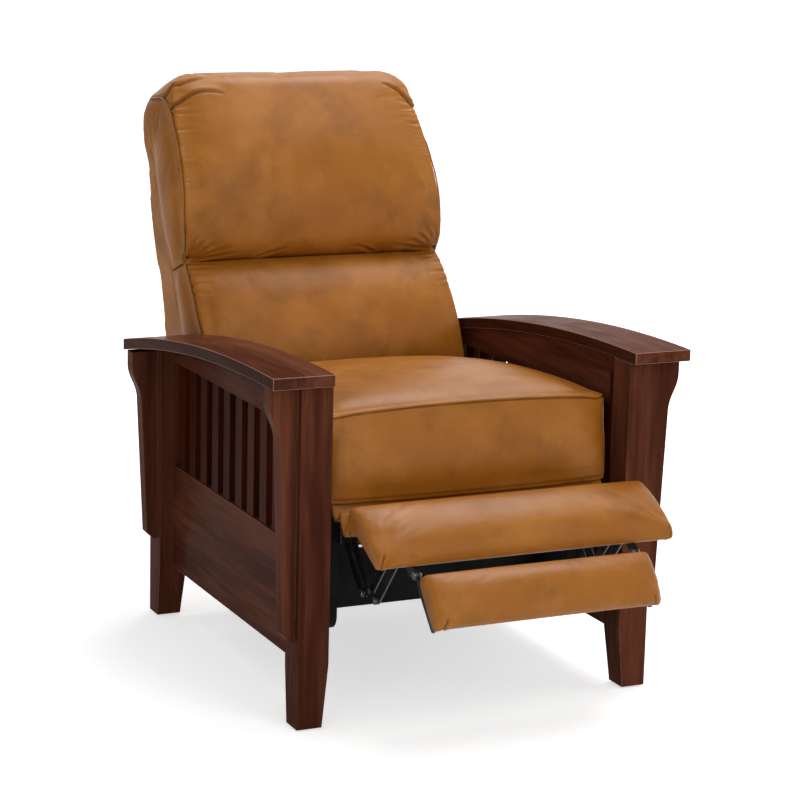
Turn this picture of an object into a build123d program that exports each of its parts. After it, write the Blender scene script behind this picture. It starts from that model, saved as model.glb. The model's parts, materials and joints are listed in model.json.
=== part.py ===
from build123d import *
import os
from math import cos, radians, sin, sqrt, tan

# Mission reclining armchair, part open as it is photographed.
# Chair axes while modelling: X to the right, Y to the back from the arms' front ends, Z up from the
# floor. The finished pieces are moved along Y so that the origin is under the middle of the chair.
# All lengths are millimetres and all angles are degrees.

# Width of the sitting space, which the sides and the mechanism follow
seat_half_width = 262.0

# Posts, their foot tapers and the corbels on their outer faces
post_width = 55.7
post_clearance = 12.2
post_pitch = 671.1
front_post_y = 13.2
foot_taper_height = 115.0
foot_taper = 11.0
glide_thickness = 3.0
glide_radius = 12.0
corbel_thickness = 28.0
corbel_setback = 14.0
corbel_lip = 5.1
corbel_waist_reach = 32.0
corbel_foot_reach = 20.0
corbel_shoulder_drop = 26.0
corbel_waist_drop = 92.0
corbel_foot_height = 152.0
corbel_foot_chamfer = 12.0
edge_round = 1.5

# Sides between the posts, and the arms on top of them
slat_clearance = 27.0
slat_thickness = 12.0
slat_recess = 2.0
slat_width = 31.0
slat_length = 197.0
slat_rear_gap = 20.4
slat_front_gap = 47.4
slat_count = 10
slat_round = 1.2
side_panel_thickness = 18.0
side_panel_low = 98.0
side_panel_height = 196.0
upper_rail_rise = 90.5
arm_thickness = 20.5
arm_overhang = 55.1
arm_inner_setback = 2.5
arm_rear_setback = 5.0
arm_apex_y = 60.0
arm_curve_radius = 3184.0
arm_edge_round = 2.5
joint_line = 0.2
rear_stretcher_low = 98.0
rear_stretcher_height = 70.0
rear_stretcher_thickness = 20.0
rear_stretcher_setback = 16.0

# Black base inside the wooden sides
base_board_inset = 42.5
base_board_thickness = 18.0
base_board_front_setback = 94.8
base_board_rear_run = 5.7
base_board_low = 134.0
base_board_round = 26.0
cross_board_setback = 120.0
cross_board_thickness = 12.0
cross_board_drop = 62.0
cleat_width = 46.0
cleat_height = 70.0
cleat_rise = 92.0
cleat_front_setback = 17.0
cleat_rear_setback = 90.0

# Seat frame and webbing
seat_pitch_angle = 5.0
rail_height = 45.0
rail_thickness = 20.0
front_rail_top = 436.0
front_rail_setback = 66.3
seat_rear_setback = 124.3
webbing_thickness = 2.0
webbing_width = 50.0
webbing_count = 5
webbing_inset = 29.5

# Seat cushion: a crowned slab with a border that drops in front of the front rail
seat_border_drop = 63.0
seat_border_gap = 0.5
seat_border_depth = 24.0
seat_border_lean = 22.0
seat_front_thickness = 75.0
seat_rear_rise = 41.0
seat_edge_rear_setback = 80.3
seat_rear_hollow = 23.0
seat_top_rise = 12.0
seat_crown = 20.0
seat_front_bulge = 7.0
seat_crest_share = 1.2
seat_end_round = 8.0
seat_gap = 0.3

# Footrest pad, in its own plane: along the pad from its rear edge, and down from its top
footrest_reach = 100.0
pad_rear_drop = 43.0
pad_slope_angle = 24.0
pad_length = 135.7
pad_clearance = 4.2
pad_side_thickness = 18.0
pad_crown = 9.0
pad_edge_round = 7.0
pad_end_round = 6.0
board_thickness = 12.0
board_inset = 13.0
pad_closed_setback = 4.5
pad_closed_gap = 13.0
pad_closing_angle = 66.0

# Lower flip-out pad, placed from the front edge of the upper one
flip_gap = 26.7
flip_drop = 13.1
flip_slope_angle = 47.0
flip_length = 93.0
flip_overhang = 6.5
flip_end_round = 3.0

# Steel linkage: layers across the chair, from the inside out
link_thickness = 3.0
layer_gap = 2.5
link_half_width = 8.0
pivot_radius = 4.0
pivot_head_radius = 6.2
pivot_head_thickness = 1.6
pivot_seat_gap = 0.3
running_clearance = 0.05
base_pivot_setback = 32.5
base_pivot_drop = 74.0
control_offset_y = 28.2
control_offset_z = -10.3
lift_offset_y = -24.6
lift_offset_z = -8.5
bracket_pivot_along = 60.0
bracket_pivot_down = 42.0
flip_pivot_overhang = 2.3
flip_pivot_down = 38.0
bracket_low_along = 16.0
bracket_flange_width = 16.0
flip_arm_reach = 78.0
drive_rod_radius = 5.0
drive_rod_share = 0.5
mechanism_plate_lead = 11.0
mechanism_plate_tail = 26.0
mechanism_plate_drop = 74.0
mechanism_plate_strip = 34.0
screw_head_radius = 6.0
screw_head_thickness = 2.0
screw_radius = 2.5
screw_length = 14.0

# Back: recline angle, pivots and brackets
recline_angle = 20.0
tilt_pivot_setback = 48.3
tilt_pivot_drop = 64.0
back_foot_behind = 4.0
back_foot_rise = 58.0
recline_pivot_up = -20.0
recline_pivot_in = 35.0
cross_tube_behind = 20.0
cross_tube_drop = 30.0
cross_tube_radius = 10.0
cross_tube_wall = 1.5
hinge_plate_height = 96.0

# Back: heights up its front plane and widths across it
pinch_up = 258.0
head_height = 382.0
head_upper_rise = 219.0
head_full_rise = 67.0
head_roll_rise = 18.0
head_corner_round = 74.0
pinch_draw = 4.0
head_upper_draw = 8.0
head_top_draw = 15.0

# Back: the seam plane divides the front cushions from the outside back
seam_foot_in = 64.5
seam_top_in = 168.0
seam_top_drop = 24.0
shell_wall = 8.0
shell_gap = 0.4
shell_inset = 5.0
cushion_gap = 0.4

# Back: side profile of the two front cushions, in from the back's front plane
lumbar_low_in = -26.0
lumbar_bulge_up = 85.0
lumbar_bulge_in = -36.0
lumbar_turn_drop = 90.0
lumbar_turn_in = -20.0
lumbar_crest_drop = 40.0
lumbar_crest_in = -2.0
pinch_in = 27.0
head_roll_in = 4.0
head_bulge_in = -13.0
head_shoulder_in = 4.0
head_brow_drop = 46.0
head_brow_in = 34.0
head_top_lead = 84.0
head_back_drop = 6.0
head_back_lead = 30.0
back_crown = 24.0

# Back frame
frame_depth = 18.0
frame_member = 42.0
frame_low = 16.0
frame_middle_rise = 4.0
frame_side_clearance = 2.0
frame_back_clearance = 2.7
frame_corner_gap = 9.0
back_strap_count = 5
back_strap_width = 46.0
back_strap_inset = 20.5

# Leather apron that hangs between the seat and the footrest
apron_inset = 7.0
apron_thickness = 2.5
apron_fold_depth = 30.0
apron_fold_count = 3
apron_clearance = 1.2

overrun = 5.0


# Places across the chair
post_inner_x = seat_half_width + post_clearance
post_outer_x = post_inner_x + post_width
slat_outer_x = seat_half_width + slat_clearance + slat_thickness
side_outer_x = slat_outer_x + slat_recess
side_inner_x = side_outer_x - side_panel_thickness
arm_outer_x = post_outer_x + arm_overhang
arm_inner_x = post_inner_x + arm_inner_setback
corbel_reach = arm_overhang - corbel_lip
base_board_inner_x = seat_half_width - base_board_inset
base_board_outer_x = base_board_inner_x + base_board_thickness
pad_half_width = post_inner_x - pad_clearance
apron_half_width = seat_half_width - apron_inset

# Layers of the linkage, given by the inner face of each
layer_pitch = link_thickness + layer_gap
plate_layer_x = base_board_inner_x - link_thickness
rear_layer_x = plate_layer_x - layer_pitch
front_layer_x = rear_layer_x - layer_pitch
bracket_layer_x = front_layer_x - layer_pitch
arm_layer_x = bracket_layer_x - layer_pitch
flip_half_width = arm_layer_x + flip_overhang
stile_inner_x = front_layer_x + link_thickness

# Places from front to back
front_post_back_y = front_post_y + post_width
rear_post_y = front_post_y + post_pitch
rear_post_back_y = rear_post_y + post_width
arm_length = rear_post_back_y - arm_rear_setback
slat_run = rear_post_y - front_post_back_y - slat_rear_gap - slat_front_gap - slat_width
slat_pitch = slat_run / (slat_count - 1)
base_board_front_y = front_post_y + base_board_front_setback
base_board_rear_y = rear_post_y + base_board_rear_run
cross_board_front_y = base_board_front_y + cross_board_setback
cleat_front_y = base_board_front_y + cleat_front_setback
cleat_rear_y = base_board_rear_y - cleat_rear_setback
front_rail_y = front_post_y + front_rail_setback
seat_rear_rail_y = rear_post_y - seat_rear_setback
seat_border_back_y = front_rail_y - seat_border_gap
seat_border_front_y = seat_border_back_y - seat_border_depth
seat_front_top_y = seat_border_front_y + seat_border_lean
seat_edge_rear_y = rear_post_y - seat_edge_rear_setback
seat_middle_rear_y = seat_edge_rear_y - seat_rear_hollow
base_pivot_y = front_rail_y + base_pivot_setback
tilt_pivot_y = rear_post_y - tilt_pivot_setback
mechanism_plate_front_y = base_pivot_y - mechanism_plate_lead
mechanism_plate_rear_y = tilt_pivot_y + mechanism_plate_tail
cross_tube_y = tilt_pivot_y + cross_tube_behind
back_foot_y = tilt_pivot_y + back_foot_behind
pad_rear_y = seat_border_front_y - footrest_reach
pad_closed_front_y = seat_border_front_y + pad_closed_setback

# Heights
side_panel_high = side_panel_low + side_panel_height
upper_rail_low = side_panel_high + slat_length
arm_apex_height = upper_rail_low + upper_rail_rise + arm_thickness
arm_curve_z = arm_apex_height - arm_curve_radius
cleat_low = side_panel_low + cleat_rise
seat_border_low = front_rail_top - seat_border_drop
seat_front_top = front_rail_top + seat_front_thickness
seat_rear_top = front_rail_top + seat_rear_rise
base_pivot_z = front_rail_top - base_pivot_drop
cross_board_high = base_pivot_z - cross_board_drop
tilt_pivot_z = front_rail_top - tilt_pivot_drop
cross_tube_z = tilt_pivot_z - cross_tube_drop
back_foot_z = tilt_pivot_z + back_foot_rise
pad_rear_top = front_rail_top - pad_rear_drop
pad_closed_top = seat_border_low - pad_closed_gap
pad_board_down = pad_side_thickness + board_thickness

# Webbing straps: the outer ones stand in from the frames that carry them
webbing_spread = 2 * (base_board_inner_x - webbing_inset) - webbing_width
back_strap_spread = 2 * (stile_inner_x - back_strap_inset) - back_strap_width

# Places up the back and in from its front plane
head_roll_up = pinch_up + head_roll_rise
head_full_up = pinch_up + head_full_rise
head_upper_up = pinch_up + head_upper_rise
back_top_up = pinch_up + head_height
head_brow_up = back_top_up - head_brow_drop
head_back_up = back_top_up - head_back_drop
head_top_in = seam_top_in - head_top_lead
head_back_in = seam_top_in - head_back_lead
seam_top_up = back_top_up - seam_top_drop
lumbar_turn_up = pinch_up - lumbar_turn_drop
lumbar_crest_up = pinch_up - lumbar_crest_drop
pinch_half_width = seat_half_width - pinch_draw
head_upper_half_width = seat_half_width - head_upper_draw
head_top_half_width = seat_half_width - head_top_draw
frame_middle = pinch_up + frame_middle_rise
frame_high = back_top_up + overrun - head_corner_round - frame_corner_gap
frame_half_width = head_top_half_width - shell_inset - shell_wall - frame_side_clearance


# Points in the planes of the moving parts, each a (Y, Z) pair as a Vector
def pad_point(along, down):
    slope = radians(pad_slope_angle)
    y = pad_rear_y - along * cos(slope) + down * sin(slope)
    z = pad_rear_top - along * sin(slope) - down * cos(slope)
    return Vector(y, z)


def flip_point(along, down):
    slope = radians(flip_slope_angle)
    rear = pad_point(pad_length + flip_gap, flip_drop)
    y = rear.X - along * cos(slope) + down * sin(slope)
    z = rear.Y - along * sin(slope) - down * cos(slope)
    return Vector(y, z)


def back_point(up, inward):
    lean = radians(recline_angle)
    y = back_foot_y + up * sin(lean) + inward * cos(lean)
    z = back_foot_z + up * cos(lean) - inward * sin(lean)
    return Vector(y, z)


def seam_in(up):
    return seam_foot_in + (seam_top_in - seam_foot_in) * up / seam_top_up


# The outside back stands clear of the back frame's top rail
frame_back_in = seam_in(frame_high) + webbing_thickness + shell_gap + frame_depth
outside_back_in = frame_back_in + frame_back_clearance + shell_wall


def footrest_centre():
    # The footrest swings as if about this point, which the parallel links hold with no pin there.
    photo = Vector(pad_rear_y, pad_rear_top)
    closed = Vector(pad_closed_front_y, pad_closed_top)
    chord = closed - photo
    middle = (closed + photo) / 2
    rise = 1 / (2 * tan(radians(pad_closing_angle) / 2))
    return middle + Vector(-chord.Y, chord.X) * rise


# Pivots of the linkage, all (Y, Z)
swing_centre = footrest_centre()
base_pivot = Vector(base_pivot_y, base_pivot_z)
control_offset = Vector(control_offset_y, control_offset_z)
lift_offset = Vector(lift_offset_y, lift_offset_z)
bracket_pivot = pad_point(bracket_pivot_along, bracket_pivot_down)
knee_pivot = base_pivot + bracket_pivot - swing_centre
control_base = base_pivot + control_offset
control_knee = knee_pivot + control_offset
lift_knee = knee_pivot + lift_offset
lift_pivot = bracket_pivot + lift_offset
flip_pivot_along = pad_length + flip_pivot_overhang
flip_pivot = pad_point(flip_pivot_along, flip_pivot_down)
drive_rod_point = base_pivot + (knee_pivot - base_pivot) * drive_rod_share
tilt_pivot = Vector(tilt_pivot_y, tilt_pivot_z)
recline_pivot = back_point(recline_pivot_up, recline_pivot_in)
cross_tube_point = Vector(cross_tube_y, cross_tube_z)

nodes = {}


# Shapes drawn in the side view and given a width across the chair
def side_slab(face, low_x, high_x):
    return extrude(Plane.YZ.offset(low_x) * face, amount=high_x - low_x, dir=Axis.X.direction)


def polygon(points):
    return Polygon(*[(p.X, p.Y) for p in points], align=None)


def disc(point, radius):
    return Pos(point.X, point.Y) * Circle(radius)


def strip(start, end, half_width):
    run = (end - start).normalized()
    side = Vector(-run.Y, run.X) * half_width
    return polygon([start + side, start - side, end - side, end + side])


def bar_outline(points, half_width):
    outline = disc(points[0], half_width)
    for start, end in zip(points, points[1:]):
        outline += strip(start, end, half_width)
        outline += disc(end, half_width)
    return outline


def with_holes(outline, pivots):
    for pivot in pivots:
        outline -= disc(pivot, pivot_radius + running_clearance)
    return outline


def both_sides(shape):
    return [mirror(shape, Plane.YZ), shape]


def block(low, high):
    size = [b - a for a, b in zip(low, high)]
    return Pos(*low) * Box(*size, align=Align.MIN)


def keep(name, shapes):
    shapes = shapes if isinstance(shapes, list) else [shapes]
    nodes[name] = [solid for shape in shapes for solid in shape.solids()]


def keep_sides(name, shape):
    left, right = both_sides(shape)
    keep("left_" + name, left)
    keep("right_" + name, right)


# Arms: one board each, bent to a long curve that falls to the back
def arc_height(y, radius):
    return arm_curve_z + sqrt(radius ** 2 - (y - arm_apex_y) ** 2)


def under_arm(y):
    return arc_height(y, arm_curve_radius - arm_thickness)


def arc_edge(start_y, end_y, radius):
    middle_y = (start_y + end_y) / 2
    ends = [(y, arc_height(y, radius)) for y in (start_y, middle_y, end_y)]
    return ThreePointArc(*ends)


def arched_face(start_y, end_y, low_z, drop):
    # A face with upright ends, a level foot and a top that follows the underside of the arm.
    radius = arm_curve_radius - arm_thickness - drop
    top = arc_edge(start_y, end_y, radius)
    front = Line((start_y, low_z), top @ 0)
    back = Line(top @ 1, (end_y, low_z))
    return make_face([front, top, back, Line((end_y, low_z), (start_y, low_z))])


def arm():
    top = arc_edge(0, arm_length, arm_curve_radius)
    under = arc_edge(arm_length, 0, arm_curve_radius - arm_thickness)
    face = make_face([top, Line(top @ 1, under @ 0), under, Line(under @ 1, top @ 0)])
    board = side_slab(face, arm_inner_x, arm_outer_x)
    return fillet(board.edges(), radius=arm_edge_round)


# Posts: square, tapered on their two inner faces towards the foot
def post(low_y, taper_front):
    face = arched_face(low_y, low_y + post_width, glide_thickness, joint_line)
    solid = side_slab(face, post_inner_x, post_outer_x)
    solid = fillet(solid.edges().filter_by(Axis.Z), radius=edge_round)
    foot, knee = glide_thickness - overrun, foot_taper_height
    slope = foot_taper / (foot_taper_height - glide_thickness)
    reach = foot_taper + overrun * slope
    inner = Polygon((post_inner_x, knee), (post_inner_x + reach, foot),
                    (post_inner_x - overrun, foot), (post_inner_x - overrun, knee), align=None)
    length = post_width + 2 * overrun
    solid -= extrude(Plane.XZ.offset(overrun - low_y) * inner, amount=length, dir=Axis.Y.direction)
    edge = low_y if taper_front else low_y + post_width
    inward = 1 if taper_front else -1
    depth = Polygon((edge, knee), (edge + inward * reach, foot),
                    (edge - inward * overrun, foot), (edge - inward * overrun, knee), align=None)
    return solid - side_slab(depth, post_inner_x - overrun, post_outer_x + overrun)


# Corbels: an S-curve under the arm that runs down into a long taper
def corbel(low_y):
    start_z = under_arm(low_y + corbel_thickness) - joint_line
    shoulder_z = start_z - corbel_shoulder_drop
    waist_z = start_z - corbel_waist_drop
    foot_z = corbel_foot_height
    middle_x = post_outer_x + (corbel_reach + corbel_waist_reach) / 2
    middle_z = (shoulder_z + waist_z) / 2
    top_x = post_outer_x + corbel_reach
    waist_x = post_outer_x + corbel_waist_reach
    foot_x = post_outer_x + corbel_foot_reach
    cut_x = foot_x - corbel_foot_chamfer
    curve = Spline((top_x, shoulder_z), (middle_x, middle_z), (waist_x, waist_z),
                   tangents=[(0, -1), (foot_x - waist_x, foot_z - waist_z)])
    outline = [Line((post_outer_x, start_z), (top_x, start_z)),
               Line((top_x, start_z), (top_x, shoulder_z)), curve,
               Line((waist_x, waist_z), (foot_x, foot_z + corbel_foot_chamfer)),
               Line((foot_x, foot_z + corbel_foot_chamfer), (cut_x, foot_z)),
               Line((cut_x, foot_z), (post_outer_x, foot_z)),
               Line((post_outer_x, foot_z), (post_outer_x, start_z))]
    face = Plane.XZ.offset(-low_y) * make_face(outline)
    solid = extrude(face, amount=corbel_thickness, dir=Axis.Y.direction)
    outer = solid.edges().filter_by(lambda edge: edge.center().X > post_outer_x + joint_line)
    return fillet(outer, radius=edge_round)


# Sides: panel, slats and the arched rail under the arm
def side_panel():
    low = (side_inner_x, front_post_back_y, side_panel_low)
    return block(low, (side_outer_x, rear_post_y, side_panel_high))


def upper_rail():
    face = arched_face(front_post_back_y, rear_post_y, upper_rail_low, joint_line)
    rail = side_slab(face, side_inner_x, side_outer_x)
    return fillet(rail.edges().filter_by(Axis.Y), radius=slat_round)


def slats():
    made = []
    for index in range(slat_count):
        high_y = rear_post_y - slat_rear_gap - index * slat_pitch
        low = (slat_outer_x - slat_thickness, high_y - slat_width, side_panel_high)
        slat = block(low, (slat_outer_x, high_y, upper_rail_low))
        made.append(fillet(slat.edges().filter_by(Axis.Z), radius=slat_round))
    return made


def glides():
    made = []
    for low_y, taper_front in ((front_post_y, False), (rear_post_y, True)):
        shift = foot_taper / 2 if taper_front else -foot_taper / 2
        x = post_inner_x + (post_width + foot_taper) / 2
        y = low_y + post_width / 2 + shift
        disc_solid = Pos(x, y, glide_thickness / 2) * Cylinder(glide_radius, glide_thickness)
        made += both_sides(disc_solid)
    return made


# Black base boards that carry the mechanism and the seat
seat_slope = tan(radians(seat_pitch_angle))


def rail_top(y):
    return front_rail_top - (y - front_rail_y) * seat_slope


def rail_low(y):
    return rail_top(y) - rail_height


def base_board():
    points = [Vector(base_board_front_y, base_board_low), Vector(base_board_rear_y, base_board_low),
              Vector(base_board_rear_y, rail_low(base_board_rear_y)),
              Vector(base_board_front_y, rail_low(base_board_front_y))]
    outline = polygon(points)
    low_corners = outline.vertices().sort_by(Axis.Y)[:2]
    outline = fillet(low_corners, radius=base_board_round)
    board = side_slab(outline, base_board_inner_x, base_board_outer_x)
    for point in screw_points():
        board -= side_slab(disc(point, screw_radius + running_clearance),
                           base_board_inner_x - overrun, base_board_inner_x + screw_length)
    return board


def cross_board():
    low = (-base_board_inner_x, cross_board_front_y, base_board_low)
    high_y = cross_board_front_y + cross_board_thickness
    return block(low, (base_board_inner_x, high_y, cross_board_high))


def cleats():
    made = []
    for low_y in (cleat_front_y, cleat_rear_y):
        low = (base_board_outer_x, low_y, cleat_low)
        high = (side_inner_x, low_y + cleat_width, cleat_low + cleat_height)
        made += both_sides(block(low, high))
    return made


def rear_stretcher():
    high_y = rear_post_back_y - rear_stretcher_setback
    low = (-post_inner_x, high_y - rear_stretcher_thickness, rear_stretcher_low)
    high = (post_inner_x, high_y, rear_stretcher_low + rear_stretcher_height)
    return block(low, high)


# Seat frame: four rails, with webbing that runs from front to back over them
def pitched_rail(low_y, high_y, low_x, high_x):
    points = [Vector(low_y, rail_low(low_y)), Vector(high_y, rail_low(high_y)),
              Vector(high_y, rail_top(high_y)), Vector(low_y, rail_top(low_y))]
    return side_slab(polygon(points), low_x, high_x)


def seat_rails():
    side_low_y = front_rail_y + rail_thickness
    side = pitched_rail(side_low_y, seat_rear_rail_y, base_board_inner_x,
                        base_board_inner_x + rail_thickness)
    width = base_board_inner_x + rail_thickness
    front = pitched_rail(front_rail_y, side_low_y, -width, width)
    rear = pitched_rail(seat_rear_rail_y, seat_rear_rail_y + rail_thickness, -width, width)
    return [front, rear] + both_sides(side)


def seat_webbing():
    made = []
    end_y = seat_rear_rail_y + rail_thickness
    points = [Vector(y, rail_top(y) + lift) for y, lift in
              ((front_rail_y, 0), (end_y, 0), (end_y, webbing_thickness), (front_rail_y, webbing_thickness))]
    for index in range(webbing_count):
        x = webbing_spread * (index / (webbing_count - 1) - 1 / 2)
        made.append(side_slab(polygon(points), x - webbing_width / 2, x + webbing_width / 2))
    return made


# Cushions: side profiles lofted across the chair, with a crown that grows to the middle
crown_mid_share = 0.62
crown_mid_height_share = 0.72
crown_stations = ((-1, 0), (-crown_mid_share, crown_mid_height_share), (0, 1),
                  (crown_mid_share, crown_mid_height_share), (1, 0))


def lofted(profile, half_width):
    sections = []
    for across_share, crown_share in crown_stations:
        plane = Plane.YZ.offset(across_share * half_width)
        sections.append(plane * make_face(profile(crown_share)))
    return loft(sections)


def rounded_ends(solid, half_width, end_round):
    at_ends = lambda face: abs(abs(face.center().X) - half_width) < joint_line
    edges = [edge for face in solid.faces().filter_by(at_ends) for edge in face.edges()]
    return fillet(edges, radius=end_round)


def seat_profile(crown_share):
    rise = seat_crown * crown_share
    front_y = seat_border_front_y - seat_front_bulge * crown_share
    rear_y = seat_edge_rear_y + (seat_middle_rear_y - seat_edge_rear_y) * crown_share
    under = webbing_thickness + seat_gap
    crest_y = (seat_front_top_y + rear_y) / 2
    crest = (seat_front_top + seat_rear_top) / 2 + seat_top_rise + rise * seat_crest_share
    front_top = (seat_front_top_y, seat_front_top + rise / 2)
    rear_top = (rear_y, seat_rear_top + rise)
    rear_low = (rear_y, rail_top(rear_y) + under)
    inner = (seat_border_back_y, rail_top(seat_border_back_y) + under)
    low_back = (seat_border_back_y, seat_border_low)
    low_front = (front_y, seat_border_low)
    bulge = (front_y + (seat_front_top_y - front_y) / 2 - seat_front_bulge * (1 + crown_share),
             (seat_border_low + seat_front_top) / 2)
    return [ThreePointArc(low_front, bulge, front_top), ThreePointArc(front_top, (crest_y, crest), rear_top),
            Line(rear_top, rear_low), Line(rear_low, inner), Line(inner, low_back), Line(low_back, low_front)]


def seat_cushion():
    return rounded_ends(lofted(seat_profile, seat_half_width), seat_half_width, seat_end_round)


# Footrest pads share one form: a rolled edge all round and a crowned top
def pad_solid(place, length, half_width, end_round):
    def profile(crown_share):
        edge = pad_edge_round
        low = [place(edge, pad_side_thickness), place(length - edge, pad_side_thickness)]
        top = [place(length - edge, 0), place(edge, 0)]
        front = place(length, pad_side_thickness / 2)
        rear = place(0, pad_side_thickness / 2)
        crest = place(length / 2, -pad_crown * (crown_share + 1) / 2)
        return [Line(low[0], low[1]), ThreePointArc(low[1], front, top[0]),
                ThreePointArc(top[0], crest, top[1]), ThreePointArc(top[1], rear, low[0])]
    return rounded_ends(lofted(profile, half_width), half_width, end_round)


def pad_board(place, length, half_width):
    corners = [place(board_inset, pad_side_thickness + seat_gap),
               place(length - board_inset, pad_side_thickness + seat_gap),
               place(length - board_inset, pad_board_down), place(board_inset, pad_board_down)]
    return side_slab(polygon(corners), -half_width + board_inset, half_width - board_inset)


# Linkage: flat steel bars in parallel layers, riveted at their pivots
def layer_plate(outline, layer_x):
    return side_slab(outline, layer_x, layer_x + link_thickness)


def rivet(point, low_x, high_x, outer_head):
    # A pin through the layers from low_x to high_x, with a head inside and, if asked, one outside.
    head_low = low_x - pivot_seat_gap - pivot_head_thickness
    pin = side_slab(disc(point, pivot_head_radius), head_low, low_x - pivot_seat_gap)
    end_x = high_x
    if outer_head:
        end_x = high_x + pivot_seat_gap + pivot_head_thickness
        pin += side_slab(disc(point, pivot_head_radius), high_x + pivot_seat_gap, end_x)
    return pin + side_slab(disc(point, pivot_radius), head_low, end_x)


def rivets(points, low_layer_x, high_layer_x, outer_head=True):
    made = []
    for point in points:
        made += both_sides(rivet(point, low_layer_x, high_layer_x + link_thickness, outer_head))
    return made


def mechanism_outline():
    # A long strip on the base board, deep at the front pivots, with an ear for the tilt pivot.
    front_low = base_pivot_z - mechanism_plate_drop
    strip_top = rail_low(mechanism_plate_rear_y)
    deep_end_y = control_base.X + mechanism_plate_strip
    points = [Vector(mechanism_plate_front_y, front_low), Vector(deep_end_y, front_low),
              Vector(deep_end_y + mechanism_plate_strip, strip_top - mechanism_plate_strip),
              Vector(mechanism_plate_rear_y, strip_top - mechanism_plate_strip),
              Vector(mechanism_plate_rear_y, strip_top),
              Vector(deep_end_y + mechanism_plate_strip, strip_top),
              Vector(deep_end_y, base_pivot_z + 2 * link_half_width),
              Vector(mechanism_plate_front_y, base_pivot_z + 2 * link_half_width)]
    ear = bar_outline([tilt_pivot, Vector(tilt_pivot.X, strip_top)], 2 * link_half_width)
    return polygon(points) + ear


def screw_points():
    low_z = base_pivot_z - mechanism_plate_drop + 2 * link_half_width
    strip_z = rail_low(mechanism_plate_rear_y) - mechanism_plate_strip / 2
    front_y = mechanism_plate_front_y + 2 * link_half_width
    second_y = control_base.X + link_half_width
    span = mechanism_plate_rear_y - 2 * link_half_width - second_y
    points = [Vector(front_y, low_z), Vector(second_y, low_z)]
    points += [Vector(second_y + span * share, strip_z) for share in (1 / 3, 2 / 3, 1)]
    return points


def mechanism_plate():
    outline = with_holes(mechanism_outline(), [base_pivot, control_base, tilt_pivot])
    for point in screw_points():
        outline -= disc(point, screw_radius + running_clearance)
    return layer_plate(outline, plate_layer_x)


def mechanism_screws():
    made = []
    head_low = plate_layer_x - screw_head_thickness
    for point in screw_points():
        screw = side_slab(disc(point, screw_head_radius), head_low, plate_layer_x)
        screw += side_slab(disc(point, screw_radius), head_low, base_board_inner_x + screw_length)
        made += both_sides(screw)
    return made


def rear_link():
    outline = bar_outline([base_pivot, knee_pivot, lift_knee], link_half_width)
    outline -= disc(drive_rod_point, drive_rod_radius)
    return layer_plate(with_holes(outline, [base_pivot, knee_pivot, lift_knee]), rear_layer_x)


def drive_rod():
    return side_slab(disc(drive_rod_point, drive_rod_radius),
                     -rear_layer_x - link_thickness, rear_layer_x + link_thickness)


def control_link():
    outline = bar_outline([control_base, control_knee], link_half_width)
    return layer_plate(with_holes(outline, [control_base, control_knee]), rear_layer_x)


def front_link():
    outline = bar_outline([control_knee, knee_pivot, bracket_pivot], link_half_width)
    return layer_plate(with_holes(outline, [control_knee, knee_pivot, bracket_pivot]), front_layer_x)


def lift_link():
    outline = bar_outline([lift_knee, lift_pivot], link_half_width)
    return layer_plate(with_holes(outline, [lift_knee, lift_pivot]), front_layer_x)


def flat_strip(place, low_along, high_along):
    # A flange that lies flat on the underside of a pad's board.
    low_down = pad_board_down + link_thickness
    return polygon([place(low_along, pad_board_down), place(high_along, pad_board_down),
                    place(high_along, low_down), place(low_along, low_down)])


def footrest_bracket():
    top = pad_board_down
    low = bracket_pivot_down + link_half_width
    far = flip_pivot_along - board_inset
    outline = polygon([pad_point(bracket_low_along, top), pad_point(far, top),
                       pad_point(far, low), pad_point(bracket_low_along, top + link_thickness)])
    outline += bar_outline([bracket_pivot, lift_pivot, flip_pivot], link_half_width)
    web = layer_plate(with_holes(outline, [bracket_pivot, lift_pivot, flip_pivot]), bracket_layer_x)
    flange = flat_strip(pad_point, bracket_low_along, pad_length - 2 * board_inset)
    return web + side_slab(flange, bracket_layer_x - bracket_flange_width, bracket_layer_x)


def flip_arm():
    near = flip_point(board_inset, pad_board_down + link_half_width)
    reach = flip_point(flip_arm_reach, pad_board_down + link_half_width)
    outline = bar_outline([flip_pivot, near, reach], link_half_width)
    web = layer_plate(with_holes(outline, [flip_pivot]), arm_layer_x)
    flange = flat_strip(flip_point, board_inset, flip_arm_reach)
    return web + side_slab(flange, arm_layer_x - bracket_flange_width, arm_layer_x)


# Back brackets, hinge plates and the tube that ties the two sides
def back_bracket():
    outline = bar_outline([cross_tube_point, tilt_pivot, recline_pivot], 2 * link_half_width)
    return layer_plate(with_holes(outline, [tilt_pivot, recline_pivot]), rear_layer_x)


def cross_tube():
    bore = disc(cross_tube_point, cross_tube_radius - cross_tube_wall)
    ring = disc(cross_tube_point, cross_tube_radius) - bore
    return side_slab(ring, -rear_layer_x, rear_layer_x)


def hinge_plate():
    middle = webbing_thickness + shell_gap + frame_depth / 2
    foot = behind_seam(recline_pivot_up, middle)
    top = behind_seam(hinge_plate_height, middle)
    outline = bar_outline([recline_pivot, foot, top], frame_depth / 2)
    return layer_plate(with_holes(outline, [recline_pivot]), front_layer_x)


# Back frame and webbing, just behind the seam plane
def behind_seam(up, depth):
    return back_point(up, seam_in(up) + depth)


def frame_member_solid(low_up, high_up, low_x, high_x):
    near, far = webbing_thickness + shell_gap, webbing_thickness + shell_gap + frame_depth
    points = [behind_seam(low_up, near), behind_seam(low_up, far),
              behind_seam(high_up, far), behind_seam(high_up, near)]
    return side_slab(polygon(points), low_x, high_x)


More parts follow.
